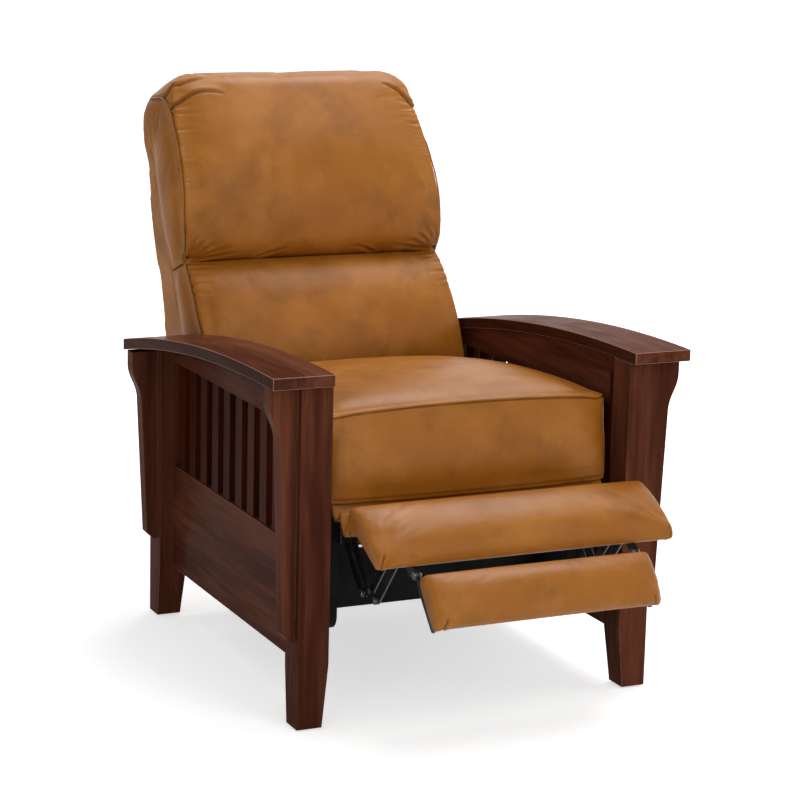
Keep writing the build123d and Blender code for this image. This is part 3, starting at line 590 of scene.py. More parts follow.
@dataclass(frozen=True)
class Crease:
    """A seam or crease that sinks into a soft piece, with painted shade along it; the side that over points to laps
    the other one.
    """

    points: Line
    depth: float
    width: float
    ridge: float = 0.0
    taper: float = 0.0
    # how dark the painted shade along the crease is
    dark: float = 0.6
    over: Sequence[float] | None = None
    lap: float = 0.0
    sink: float = 0.0

    def span(self) -> float:
        """Returns how far the crease reaches, in millimetres."""
        return self.width * 5

    def marks(self, near: Nearby) -> tuple[np.ndarray, np.ndarray, np.ndarray]:
        """Returns the rise, the shade and the pucker of points near the crease."""
        width = self.width * MM
        strength = np.ones(len(near.away))
        if self.taper:
            strength = unit(1 - near.along / near.length) ** self.taper
        dip = np.exp(-(near.away / width) ** 2) * strength
        bank = np.exp(-((near.away - 2.1 * width) / width) ** 2) * strength
        rise = self.ridge * bank - self.depth * dip
        if self.over is not None:
            side = np.tanh(near.offsets @ np.array(self.over) / (0.5 * width))
            roll = np.exp(-(near.away / (3.2 * width)) ** 2) * strength
            rise = rise + np.where(side > 0, self.lap, self.sink) * roll * side
        # painted shade along the crease
        shade = self.dark * np.exp(-(near.away / (0.55 * width)) ** 2) * strength
        return rise * MM, shade, np.zeros(len(shade))


@dataclass(frozen=True)
class Gather:
    """Short puckers that run away from a seam."""

    points: Line
    height: float
    reach: float
    pitch: float
    seed: float
    wrinkle: float

    def span(self) -> float:
        """Returns how far the puckers reach, in millimetres."""
        return self.reach * 2.5

    def marks(self, near: Nearby) -> tuple[np.ndarray, np.ndarray, np.ndarray]:
        """Returns the rise, the shade and the pucker of points near the seam."""
        wave = ripple(near.along, self.pitch * MM, self.seed)
        fade = np.exp(-near.away / (self.reach * MM)) * (0.6 + 0.4 * ripple(near.along, 47 * MM, self.seed + 1))
        # the second value is painted shade in the troughs of the puckers
        return self.height * MM * wave * fade, unit(-wave * fade) * 0.2, unit(fade) * self.wrinkle


# Soft goods


class SoftPiece:
    """One padded leather piece, shaped from its CAD solid."""

    def __init__(self, name: str, node: Object, voxel: float, smooth: int = 3, reshape: Rule | None = None) -> None:
        """Copies the solid and gives it an even skin.

        Args:
            name: the new piece's name.
            node: the CAD node's object.
            voxel: the skin's spacing in millimetres.
            smooth: how many times the skin is smoothed.
            reshape: moves the copy's points before it gets its skin.
        """
        shell = bmesh.new()
        shell.from_mesh(node.data)
        bmesh.ops.remove_doubles(shell, verts=shell.verts, dist=WELD)
        self.object = add_object(name, mesh_of(name, shell))
        if reshape:
            self.bend(reshape)
        shaped(self.object, "REMESH", mode="VOXEL", voxel_size=voxel * MM)
        shaped(self.object, "SMOOTH", iterations=smooth, factor=0.5)

    def skin(self) -> tuple[np.ndarray, np.ndarray]:
        """Returns the skin's points and normals."""
        mesh = self.object.data
        return rows(mesh.vertices), rows(mesh.vertex_normals, "vector")

    def bend(self, move: Rule) -> None:
        """Moves the skin's points."""
        move_to(self.object.data, move(rows(self.object.data.vertices)))

    def refine(self) -> None:
        """Divides the skin once, smoothly."""
        shaped(self.object, "SUBSURF", levels=1, render_levels=1)

    def settle(self, points: Line, proud: float = 0.0, step: float = 6.0) -> list[Vector]:
        """Lays a line on the skin.

        Args:
            points: the line's rough points.
            proud: how far off the skin it lies, in millimetres.
            step: the spacing of the settled line, in millimetres.

        Returns:
            Points on the skin.
        """
        skin = bmesh.new()
        skin.from_mesh(self.object.data)
        tree = BVHTree.FromBMesh(skin)
        skin.free()
        settled = []
        for sample in resample(smooth_line(points), step * MM)[0]:
            spot, normal, _, _ = tree.find_nearest(sample)
            settled.append(spot + normal * (proud * MM))
        return settled

    def evened(self, values: np.ndarray, times: int) -> np.ndarray:
        """Returns values of the skin's points, averaged with their neighbours a number of times."""
        mesh = self.object.data
        ends = np.empty(len(mesh.edges) * 2, dtype=np.int64)
        mesh.edges.foreach_get("vertices", ends)
        first, second = ends[0::2], ends[1::2]
        count = np.bincount(ends, minlength=len(values))
        for _ in range(times):
            total = np.bincount(first, values[second], len(values)) + np.bincount(second, values[first], len(values))
            values = (values + total / np.maximum(count, 1)) / 2
        return values

    def swell(self, stuffing: Stuffing, held: Rule) -> None:
        """Swells the cover in a cloth simulation and keeps its smooth part and a little of its creasing.

        Args:
            stuffing: pressure, extra leather and limits.
            held: gives each vertex a share from 0, free, to 1, sewn down, from its place and normal.
        """
        full, normals = self.skin()
        share = unit(held(full, normals))
        most = stuffing.most * MM
        start = full - normals * (stuffing.inset * MM * (1 - share))[:, None]
        move_to(self.object.data, start)
        rise = np.einsum("ij,ij->i", self.inflated(stuffing, share) - start, normals)
        smooth = self.evened(rise, stuffing.smoothing)
        creasing = np.clip(rise - smooth, -stuffing.creasing * MM, stuffing.creasing * MM)
        lift = (most * np.tanh(smooth * stuffing.gain / most) + creasing) * (1 - share)
        log.info("%s: swollen by %.1f mm", self.object.name, float(np.abs(lift).mean()) / MM)
        move_to(self.object.data, full + normals * lift[:, None])

    def inflated(self, stuffing: Stuffing, share: np.ndarray) -> np.ndarray:
        """Returns the skin's points after a cloth simulation with air pressure inside."""
        group = self.object.vertex_groups.new(name="sewn")
        for step in range(1, 11):
            members = np.nonzero(np.round(share * 10) == step)[0].tolist()
            if members:
                group.add(members, step / 10, "REPLACE")
        cloth = self.object.modifiers.new("cover", "CLOTH")
        stretch = -stuffing.extra_leather
        for name, value in {"quality": 5, "mass": 0.3, "tension_stiffness": 25, "compression_stiffness": 25,
                            "shear_stiffness": 10, "bending_stiffness": 1.0, "use_pressure": True,
                            "uniform_pressure_force": stuffing.pressure, "vertex_group_mass": "sewn",
                            "shrink_min": stretch, "shrink_max": stretch}.items():
            setattr(cloth.settings, name, value)
        cloth.settings.effector_weights.gravity = 0
        cloth.collision_settings.use_collision = False
        scene = bpy.context.scene
        for frame in range(1, stuffing.steps + 1):
            scene.frame_set(frame)
        moved = rows(self.object.evaluated_get(bpy.context.evaluated_depsgraph_get()).to_mesh().vertices)
        self.object.modifiers.clear()
        self.object.vertex_groups.clear()
        scene.frame_set(1)
        return moved

    def crease(self, lines: Sequence[Crease | Gather]) -> None:
        """Sinks seams and folds into the skin, puckers it, and darkens it there with painted shade."""
        points, normals = self.skin()
        lift, dark, pucker = (np.zeros(len(points)) for _ in range(3))
        for line in lines:
            samples, places = resample(line.points, 0.002)
            tree = search_tree(samples)
            low, high = np.min(samples, axis=0) - line.span() * MM, np.max(samples, axis=0) + line.span() * MM
            near = np.nonzero(np.all((points > low) & (points < high), axis=1))[0]
            if not len(near):
                continue
            found = [tree.find(points[index]) for index in near]
            feet = np.array([tuple(hit[0]) for hit in found])
            away, along = np.array([hit[2] for hit in found]), np.array([places[hit[1]] for hit in found])
            rise, shade, folds = line.marks(Nearby(away, along, places[-1], points[near] - feet))
            lift[near] += rise
            dark[near] = np.maximum(dark[near], shade)
            pucker[near] = np.maximum(pucker[near], folds)
        mesh = self.object.data
        # the painted shade and the pucker go into attributes for the leather
        for name, values in (("crease_shade", dark), ("pucker", pucker)):
            layer = mesh.attributes.new(name, "FLOAT", "POINT")
            layer.data.foreach_set("value", unit(values).astype(np.float32))
        move_to(mesh, points + normals * lift[:, None])

    def finish(self, material: Material, body: str, node: str, fill: float, lit_sides: Material | None = None) -> None:
        """Dresses the piece and puts it in the CAD node's place.

        Args:
            material: the leather.
            body: the body that it rides on.
            node: the CAD node that it stands for.
            fill: how tight the stuffing is; not used.
            lit_sides: a brighter copy of the leather, painted light, for the faces that look to the sides.
        """
        mesh = self.object.data
        mesh.materials.clear()
        mesh.materials.append(material)
        if lit_sides:
            mesh.materials.append(lit_sides)
            # painted light: the faces that look to the sides get the brighter copy of the leather
            sides = np.abs(rows(mesh.polygons, "normal")[:, 0]) > SIDE_FACING
            mesh.polygons.foreach_set("material_index", sides.astype(np.int32))
        round_off(mesh)
        mesh.update()
        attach(self.object, body)
        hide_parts(node)
        log.info("%s: %d faces", self.object.name, len(mesh.polygons))


def welt(name: str, points: Line, radius: float, material: Material, body: str) -> None:
    """Sweeps a leather-covered piping cord along a seam.

    Args:
        name: the piece's name.
        points: the seam's points.
        radius: the cord's radius in millimetres.
        material: its leather.
        body: the body that it rides on.
    """
    curve = bpy.data.curves.new(name, "CURVE")
    curve.dimensions = "3D"
    curve.bevel_depth = radius * MM
    curve.bevel_resolution = 3
    curve.use_fill_caps = True
    spline = curve.splines.new("POLY")
    spline.points.add(len(points) - 1)
    for station, sample in zip(spline.points, points):
        station.co = (*sample, 1.0)
    log.info("%s: %.3f m long", name, sum((end - start).length for start, end in zip(points, points[1:])))
    holder = add_object(name + "_line", curve)
    mesh = bpy.data.meshes.new_from_object(holder.evaluated_get(bpy.context.evaluated_depsgraph_get()))
    bpy.data.objects.remove(holder)
    mesh.materials.clear()
    mesh.materials.append(material)
    round_off(mesh)
    cord = add_object(name, mesh)
    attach(cord, body)
    log.info("%s: %d faces", name, len(mesh.polygons))


# Sub-assemblies


def dress(nodes: dict[str, Object], endings: dict[str, Material]) -> None:
    """Gives each node whose name has one of the endings its material."""
    for name, node in nodes.items():
        for ending, material in endings.items():
            if name.endswith(ending):
                node.data.materials.clear()
                node.data.materials.append(material)
                log.info("%s: %s", name, material.name)


@dataclass
class WoodenFrame:
    """The stained posts, arms, rails, panels, corbels and slats."""

    nodes: dict[str, Object]
    wood: StainedWood = StainedWood()
    shaded: StainedWood = StainedWood(
        "shaded_wood", (0.02, 0.0032, 0.0012), (0.072, 0.015, 0.006), (0.14, 0.055, 0.035))
    # the arms get painted shade on their sides and a painted highlight on their edges and corners
    armrest: StainedWood = StainedWood("arm_wood", wear_and_highlight=(0.36, 0.23, 0.18), side_shade=0.5)

    def shade_strip(self, name: str, side: float, material: Material) -> None:
        """Adds the thin dark strip behind a front post that closes the slit beside the seat, standing in for the shade
        there.
        """
        strip = bmesh.new()
        turn = Matrix.Translation(place(side * 282, 74, 410)) @ Matrix.Diagonal((0.016, 0.012, 0.29, 1))
        bmesh.ops.create_cube(strip, size=1, matrix=turn)
        bmesh.ops.bevel(strip, geom=strip.edges, offset=0.001, segments=2, profile=0.5, affect="EDGES")
        mesh = mesh_of(name, strip)
        mesh.materials.append(material)
        shade_strip = add_object(name, mesh)
        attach(shade_strip, "frame")

    def build(self) -> None:
        """Gives each wooden node its stain with the grain along its length."""
        upright, level, across = (self.wood.build(way) for way in (Along.HEIGHT, Along.DEPTH, Along.ACROSS))
        inner, arm = self.shaded.build(Along.HEIGHT), self.armrest.build(Along.DEPTH)
        # dark strips that stand in for the shade in the slits beside the seat
        self.shade_strip("left_shade_strip", -1, inner)
        self.shade_strip("right_shade_strip", 1, inner)
        dress(self.nodes, {"_post": upright, "_corbel": upright, "_slats": inner, "_arm": arm,
                           "_side_panel": level, "_upper_rail": level, "rear_stretcher": across})


def ironwork(nodes: dict[str, Object]) -> None:
    """Gives the steel linkage, its rivets and screws, the black boards and the hidden frames their finishes."""
    steel, rivet = painted_steel(), bare_steel("rivet_steel", (0.3, 0.29, 0.28))
    rod = bare_steel("bright_rod", (0.68, 0.67, 0.66), 0.12, 0.24)
    board, timber = black_board(), raw_wood()
    dress(nodes, {"_link": steel, "_links": steel, "_bracket": steel, "_plate": steel, "_tube": steel,
                  "flip_arms": steel, "_pivots": rivet, "_screws": rivet, "drive_rod": rod,
                  "_board": board, "_cleats": board, "seat_rails": timber, "back_frame": timber,
                  "_webbing": woven_strap(), "foot_glides": glide_plastic()})


@dataclass(frozen=True)
class Slope:
    """A sloping plane: its start, in millimetres, its lengthwise direction and the one square into it."""

    y: float
    z: float
    along: np.ndarray
    inward: np.ndarray

    def at(self, x: float, along: float, inward: float) -> Vector:
        """Returns a point, given across, along and into the plane."""
        y, z = (start + along * self.along[axis] + inward * self.inward[axis]
                for axis, start in ((1, self.y), (2, self.z)))
        return place(x, y, z)

    def parts(self, points: np.ndarray) -> tuple[np.ndarray, np.ndarray, np.ndarray]:
        """Returns how far points lie across, along and into the plane, in millimetres."""
        offsets = points - np.array(self.at(0, 0, 0))
        return offsets[:, 0] / MM, offsets @ self.along / MM, offsets @ self.inward / MM

    def line(self, piece: SoftPiece, stations: Stations, step: float = 3.0) -> list[Vector]:
        """Lays a line, given as places across, along and into the plane, on a piece."""
        return piece.settle([self.at(*station) for station in stations], step=step)


BACK_WIDTHS = ((0, 262), (172, 260), (258, 258), (291, 261), (325, 262), (400, 259), (477, 254),
               (571, 247), (597, 243), (623, 225), (640, 195))
HEADREST_SEAM = ((259, 26), (268, 19), (290, 4), (320, -6), (371, -15), (403, -14), (451, -5), (504, 13),
                 (545, 30), (566, 46), (582, 71), (590, 93), (598, 128), (603, 158))
HEADREST_PLEATS = (
    ((-246, 585, 68), (-243, 590, 46), (-227, 598, 32), (-202, 603, 33), (-167, 610, 36)),
    ((-248, 552, 30), (-235, 561, 21), (-217, 572, 22), (-198, 578, 22), (-172, 579, 20), (-146, 571, 17)),
    ((244, 540, 24), (237, 557, 20), (223, 572, 23), (206, 582, 24), (184, 588, 24)))
HEADREST_TUCKS = (
    ((-247, 549, 30), (-228, 552, 20), (-200, 553, 14)),
    ((-248, 540, 27), (-230, 536, 16), (-206, 536, 8)),
    ((-251, 505, 14), (-236, 504, 9), (-212, 506, 2)),
    ((-252, 505, 16), (-252, 503, 34), (-251, 507, 50)),
    ((-248, 553, 33), (-247, 548, 42), (-247, 536, 52)))
HEADREST_FANS = (
    ((-257, 263, 20), (-248, 285, -3), (-240, 302, -10)),
    ((-256, 263, 20), (-238, 281, -6), (-222, 296, -14)),
    ((-255, 263, 20), (-230, 273, -1), (-202, 288, -14)),
    ((-254, 262, 21), (-222, 268, 4), (-178, 277, -10)),
    ((-250, 261, 22), (-206, 263, 8), (-150, 268, -4)),
    ((-120, 260, 14), (-95, 266, -4), (-60, 271, -10)))
LUMBAR_SEAM = ((256, 26), (244, 20), (226, 11), (190, -4), (152, -13), (111, -28), (60, -32), (8, -28))
LUMBAR_TUCKS = (
    ((-256, 254, 23), (-225, 253, 15), (-190, 250, 10)),
    ((-256, 243, 13), (-235, 244, 8), (-208, 240, 2)),
    ((-258, 228, 8), (-240, 230, 0), (-218, 226, -5)),
    ((-259, 206, 0), (-240, 210, -10), (-214, 206, -18)),
    ((-259, 188, -4), (-244, 190, -14), (-224, 184, -20)))
SHELL_SEAM = ((-246, 545, 152), (-245, 545, 170), (-244, 546, 186))


@dataclass
class ReclinedBack:
    """The headrest, the lumbar cushion and the outside back, all in the back's own plane."""

    nodes: dict[str, Object]
    leather: Material
    lit_sides: Material
    voxel: float = 5.0
    recline: float = 20.0
    foot_y: float = 639.995
    foot_z: float = 430.0
    seam_foot_in: float = 64.5
    seam_top_in: float = 168.0
    seam_top_up: float = 616.0
    cord_radius: float = 1.5
    corner_x: float = 249.0
    corner_up: float = 637.0
    shoulder: float = 11.0

    def __post_init__(self) -> None:
        """Lays the plane of the back's front, along it upward."""
        lean = math.radians(self.recline)
        sine, cosine = math.sin(lean), math.cos(lean)
        self.plane = Slope(self.foot_y, self.foot_z, np.array((0, sine, cosine)), np.array((0, cosine, -sine)))

    def both_seams(self, piece: SoftPiece, stations: Stations) -> list[list[Vector]]:
        """Lays a seam, given as heights and depths, on both sides of a piece."""
        ups, widths = zip(*BACK_WIDTHS)
        left = [self.plane.at(-float(np.interp(up, ups, widths)), up, inward) for up, inward in stations]
        return [piece.settle(left), piece.settle(flipped(left))]

    def folds(self, piece: SoftPiece, lines: Sequence[Stations]) -> list[list[Vector]]:
        """Lays folds, given as places on the left half, on both halves of a piece."""
        both = ([(side * x, up, inward) for x, up, inward in line] for line in lines for side in (1, -1))
        return [self.plane.line(piece, line) for line in both]

    def seam_creases(self, seams: Sequence[Line], lap: float, sink: float) -> list[Crease]:
        """Returns the creases of two side seams, whose front panel laps the side panel."""
        return [Crease(line, 2.0, 2.6, 0.4, dark=0.8, over=Vector((-math.copysign(1, line[0].x), 0, 0)),
                       lap=lap, sink=sink) for line in seams]

    def rounded(self, points: np.ndarray) -> np.ndarray:
        """Rounds the back's top corners, more to the rear, and lets the shell's shoulders stand out."""
        x, up, depth = self.plane.parts(points)
        radius = 78 - 4 * unit((depth - 30) / 120)
        past_x = np.clip(np.abs(x) - (self.corner_x - radius), 0, None)
        past_up = np.clip(up - (self.corner_up - radius), 0, None)
        far = np.hypot(past_x, past_up) / radius
        pull = np.where((past_x > 0) & (past_up > 0) & (far > 1), 1 / np.maximum(far, 1e-6), 1.0)
        flare = self.shoulder * np.exp(-((up - 548) / 58) ** 2) * unit((depth - 95) / 60)
        flare *= unit((np.abs(x) - 170) / 60)
        moved = points - self.plane.along * (past_up * (1 - pull) * MM)[:, None]
        moved[:, 0] += np.sign(x) * (flare - past_x * (1 - pull)) * MM
        return moved

    def held_at(self, seams: Sequence[Line], reach: float) -> Rule:
        """Returns the rule that holds a cushion at its seams and where it lies on the webbing."""
        def held(points: np.ndarray, normals: np.ndarray) -> np.ndarray:
            _, up, depth = self.plane.parts(points)
            seam_in = self.seam_foot_in + (self.seam_top_in - self.seam_foot_in) * up / self.seam_top_up
            rear = unit((depth - seam_in + 26) / 18)
            flat = unit(np.abs(normals @ self.plane.along) * 1.6 - 0.7) * unit((430 - up) / 60)
            return np.maximum(np.maximum(rear, sewn_at(points, seams, reach)), flat)

        return held

    def finish(self, piece: SoftPiece, name: str, node: str, creases: list, seams: Sequence[Line]) -> None:
        """Creases and dresses a cushion and lays a thin cord in each of its side seams."""
        piece.crease(creases)
        piece.finish(self.leather, "back", node, 0.8, self.lit_sides)
        for side, line in zip(("left", "right"), seams):
            outward = Vector((math.copysign(self.cord_radius, line[0].x) * MM, 0, 0))
            welt(f"{name}_{side}_cord", [point + outward for point in line], self.cord_radius, self.leather, "back")

    def headrest(self) -> None:
        """Builds the head cushion: boxed sides, corner pleats and gathers above the crease."""
        piece = SoftPiece("headrest", self.nodes["headrest_cushion"], self.voxel)
        piece.bend(self.rounded)
        seams = self.both_seams(piece, HEADREST_SEAM)
        piece.swell(Stuffing(9.0, 12.0), self.held_at(seams, 24.0))
        piece.refine()
        seams = self.both_seams(piece, HEADREST_SEAM)
        creases = self.seam_creases(seams, 1.6, 2.6)
        creases += [Crease(self.plane.line(piece, pleat), 6.0, 3.4, 0.0, taper=0.6, dark=1.0,
                           over=self.plane.along, lap=6.0) for pleat in HEADREST_PLEATS]
        creases += [Crease(line, 1.7, 3.0, 0.6, taper=0.9, dark=0.22)
                    for line in self.folds(piece, HEADREST_TUCKS)]
        creases += [Crease(line, 3.2, 4.0, 1.6, taper=0.8, dark=0.42)
                    for line in self.folds(piece, HEADREST_FANS)]
        creases += [Gather(line, 0.4, 20, 9.5, seed, 1.0) for seed, line in enumerate(seams)]
        self.finish(piece, "headrest", "headrest_cushion", creases, seams)

    def lumbar(self) -> None:
        """Builds the lumbar cushion under the headrest."""
        piece = SoftPiece("lumbar", self.nodes["lumbar_cushion"], self.voxel)
        seams = self.both_seams(piece, LUMBAR_SEAM)
        piece.swell(Stuffing(7.0, 12.0), self.held_at(seams, 22.0))
        piece.refine()
        seams = self.both_seams(piece, LUMBAR_SEAM)
        creases = self.seam_creases(seams, 1.4, 2.2)
        creases += [Crease(line, 1.6, 3.2, 0.7, taper=0.8, dark=0.22) for line in self.folds(piece, LUMBAR_TUCKS)]
        creases += [Gather(line, 0.3, 16, 9.5, 3 + seed, 0.7) for seed, line in enumerate(seams)]
        self.finish(piece, "lumbar", "lumbar_cushion", creases, seams)

    def outside_back(self) -> None:
        """Builds the padded leather outside back with its side seams."""
        piece = SoftPiece("outside_back", self.nodes["back_shell"], self.voxel)
        piece.bend(self.rounded)
        piece.refine()
        piece.crease([Crease(line, 2.2, 2.6, 0.6, dark=0.8) for line in self.folds(piece, (SHELL_SEAM,))])
        piece.finish(self.leather, "back", "back_shell", 0.9, self.lit_sides)

    def build(self) -> None:
        """Builds the back's soft pieces."""
        self.headrest()
        self.lumbar()
        self.outside_back()


@dataclass
class BoxedSeat:
    """The seat cushion: a crowned top, a welt round it and a deep front border."""

    nodes: dict[str, Object]
    leather: Material
    lit_sides: Material
    voxel: float = 5.0
    half_width: float = 262.0
    front_y: float = 77.0
    front_top: float = 511.0
    crest_y: float = 341.0
    crest: float = 506.0
    rear_y: float = 604.0
    rear_top: float = 477.0
    border_low: float = 373.0
    border_front_y: float = 55.0
    welt_radius: float = 2.2
    corner: float = 40.0
    turn: float = 15.0
    belly: float = 2.0
    spread: float = 3.0
    hem_drop: float = 5.0
    edge_lift: float = 3.0

    def edge_height(self, y: float) -> float:
        """Returns the height of the top's side edge at a place from front to back."""
        ys, heights = (self.front_y, self.crest_y, self.rear_y), (self.front_top, self.crest, self.rear_top)
        return float(np.polyval(np.polyfit(ys, heights, 2), y))

    def welt_route(self) -> list[Vector]:
        """Returns the rough line of the welt: along one side, across the front and back again."""
        side = [(-self.half_width, y) for y in np.linspace(self.rear_y - 20, self.front_y + 40, 12)]
        corner = [(-self.half_width + 0.5, self.front_y + 18), (-self.half_width + 3, self.front_y + 5),
                  (-self.half_width + 14, self.front_y - 1)]
        left = [place(x, y, self.edge_height(max(y, self.front_y))) for x, y in [*side, *corner]]
        top = self.front_top + self.edge_lift
        front = [place(x, self.front_y - 1, top + 9 * (1 - (x / self.half_width) ** 2))
                 for x in np.linspace(-self.half_width + 40, self.half_width - 40, 13)]
        return [*left, *front, *flipped(left)[::-1]]

    def turned(self, points: np.ndarray) -> np.ndarray:
        """Rounds the border's upright corners, which end sharp under the welt, and bellies it out."""
        x, y, z = points[:, 0] / MM, points[:, 1] / MM + CHAIR_MIDDLE_Y, points[:, 2] / MM
        end = unit((np.abs(x) - (self.half_width - self.corner)) / self.corner)
        front = unit((self.front_y + 45 - y) / 45)
        below = unit((self.front_top - 6 - z) / 34)
        height = unit((z - self.border_low) / (self.front_top - self.border_low))
        back = self.turn * (1 - np.sqrt(1 - end ** 2)) * below - self.belly * np.sin(math.pi * height) * (1 - end ** 3)
        moved = points.copy()
        moved[:, 1] += back * front * MM
        moved[:, 0] += np.sign(x) * self.spread * unit((np.abs(x) - 200) / 60) * MM
        moved[:, 2] -= self.hem_drop * front * unit(1 - height * 2) * MM
        moved[:, 2] += self.edge_lift * front * unit(height * 4 - 3) * MM
        return moved

    def build(self) -> None:
        """Builds the cushion and its welt."""
        piece = SoftPiece("seat", self.nodes["seat_cushion"], self.voxel)
        piece.bend(self.turned)
        line = piece.settle(self.welt_route())

        def held(points: np.ndarray, normals: np.ndarray) -> np.ndarray:
            under, behind = unit(-normals[:, 2] * 1.5), unit(normals[:, 1] * 2)
            sides = np.clip(np.abs(normals[:, 0]) - 0.4, 0, 0.6) * 1.4
            low = unit((self.border_low + 26 - points[:, 2] / MM) / 24)
            return np.max([sewn_at(points, [line], 26), under, behind, sides, low], axis=0)

        piece.swell(Stuffing(11.0, 14.0, gain=1.8), held)
        piece.refine()
        line = piece.settle(self.welt_route(), self.welt_radius * 0.35, 4.0)
        hem = piece.settle([place(x, self.border_front_y - 4, self.border_low + 7 - self.hem_drop)
                            for x in (-self.half_width + 6, 0, self.half_width - 6)])
        piece.crease([Crease(line, 2.4, 3.6, 0.5, dark=0.75), Crease(hem, 1.2, 2.4, 0.4, dark=0.15),
                      Gather(line, 0.5, 12, 13, 5, 0.5)])
        piece.finish(self.leather, "frame", "seat_cushion", 0.85, self.lit_sides)
        welt("seat_welt", line, self.welt_radius, self.leather, "frame")


@dataclass
class FootPad:
    """One of the footrest's two pads: leather wrapped over foam and round its board."""

    nodes: dict[str, Object]
    leather: Material
    name: str
    node: str
    body: str
    rear_y: float
    rear_top: float
    slope: float
    length: float
    half_width: float
    side_puff: float = 0.0
    lift: float = 2.5
    crown: float = 7.0
    edge: float = 24.0
    roll: float = 20.0
    voxel: float = 4.0
    wrap: float = 11.2
    thickness: float = 18.0

    def __post_init__(self) -> None:
        """Lays the plane of the pad's top, along it from its rear edge."""
        slope = math.radians(self.slope)
        sine, cosine = math.sin(slope), math.cos(slope)
        self.plane = Slope(self.rear_y, self.rear_top, np.array((0, -cosine, -sine)), np.array((0, sine, -cosine)))

    def wrapped(self, points: np.ndarray) -> np.ndarray:
        """Draws the lower half of the solid down past its board."""
        depth = self.plane.parts(points)[2]
        share = unit((depth - self.thickness * 0.5) / (self.thickness * 0.12))
        return points + self.plane.inward * (share * self.wrap * MM)[:, None]

    def pillowed(self, points: np.ndarray) -> np.ndarray:
        """Crowns the pad, rolls its front and tucks the leather under it."""
        plane = self.plane
        x, along, depth = plane.parts(points)
        whole = self.thickness + self.wrap
        upper = unit(1 - depth / whole)
        side = unit((np.abs(x) - (self.half_width - self.edge)) / self.edge)
        front = unit((along - (self.length - self.roll)) / self.roll)
        arch = 0.45 + 0.55 * unit(np.sin(math.pi * along / self.length))
        swell = self.crown * (1 - 0.7 * (x / self.half_width) ** 4) * arch + self.lift
        fall = 0.08 + 0.26 * unit(along / self.length)
        drop = whole * (fall * (1 - np.sqrt(1 - side ** 2)) + 0.34 * (1 - np.sqrt(1 - front ** 2)))
        tuck = 7 * unit((unit(1 - upper) - 0.45) / 0.55) ** 1.6 * front
        moved = points + plane.inward * ((drop - swell) * upper * MM)[:, None] - plane.along * (tuck * MM)[:, None]
        moved[:, 0] += np.sign(x) * side * self.side_puff * MM
        return moved

    def held(self, points: np.ndarray, normals: np.ndarray) -> np.ndarray:
        """Holds the sides and the leather round the board and leaves the top and the front free."""
        top, front = unit(normals @ -self.plane.inward), unit(normals @ self.plane.along)
        low = unit((self.plane.parts(points)[2] - self.thickness) / 8)
        return np.maximum(1 - unit(top * 1.3 + front), low)

    def build(self) -> None:
        """Builds the pad with the folded slits at its front corners."""
        piece = SoftPiece(self.name, self.nodes[self.node], self.voxel, 5, self.wrapped)
        piece.bend(self.pillowed)
        piece.swell(Stuffing(5.0, 14.0), self.held)
        piece.refine()
        creases, plane = [], self.plane
        x, end = self.half_width - 8, self.length
        for side in (-1, 1):
            slit = plane.line(piece, ((side * (x - 3), end - 8, 0), (side * x, end - 1, 7),
                                      (side * (x + 1), end, self.thickness),
                                      (side * x, end - 1, self.thickness + 9)))
            creases.append(Crease(slit, 3.0, 1.9, 0.0, dark=1.0, over=Vector((-side, 0, 0)), lap=1.4))
            tail = plane.line(piece, ((side * (x - 3), end - 8, 0), (side * (x - 9), end - 20, -2)))
            creases.append(Crease(tail, 1.2, 2.6, 0.4, taper=1.0, dark=0.2))
        seam = plane.line(piece, ((-x, 3, 2), (0, 3, 2), (x, 3, 2)), 6.0)
        piece.crease([*creases, Crease(seam, 1.0, 2.2, 0.3, dark=0.4)])
        piece.finish(self.leather, self.body, self.node, 0.9)


@dataclass
class Apron:
    """The leather that hangs in loops between the seat's border and the footrest."""

    leather: Material
    half_width: float = 253.0
    start: tuple[float, float] = (64.0, 370.0)
    end: tuple[float, float] = (-42.0, 380.0)
    loops: int = 3
    drop: float = 38.0
    sag: float = 12.0
    thickness: float = 2.2
    columns: int = 110
    rows: int = 96

    def profile(self, x: np.ndarray, t: np.ndarray) -> tuple[np.ndarray, np.ndarray]:
        """Returns the apron's depth and height at places across it and along it from 0 to 1."""
        loop = np.abs(np.sin(math.pi * self.loops * t)) ** 0.85
        sway = 1 + 0.1 * np.sin(x / 61 + 7 * t) + 0.06 * np.sin(x / 23 + 11 * t)
        fade = np.clip(1.15 - 0.45 * t, 0, 0.3 + 1.5 * t)
        y = self.start[0] + (self.end[0] - self.start[0]) * t + 3 * loop * np.sin(x / 47 + 9 * t)
        z = self.start[1] + (self.end[1] - self.start[1]) * t - self.drop * loop * sway * fade
        return y, z - self.sag * unit(np.sin(math.pi * t))

    def build(self) -> None:
        """Builds the apron."""
        sheet = bmesh.new()
        bmesh.ops.create_grid(sheet, x_segments=self.columns, y_segments=self.rows, size=0.5)
        mesh = mesh_of("apron", sheet)
        flat = rows(mesh.vertices)
        x, t = flat[:, 0] * 2 * self.half_width, flat[:, 1] + 0.5
        y, z = self.profile(x, t)
        round_off(mesh)
        move_to(mesh, np.stack([x * MM, (y - CHAIR_MIDDLE_Y) * MM, z * MM], axis=1))
        mesh.materials.append(self.leather)
        apron = add_object("apron", mesh)
        shaped(apron, "SOLIDIFY", thickness=self.thickness * MM, offset=0.0)
        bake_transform(apron)
        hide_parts("leather_apron")


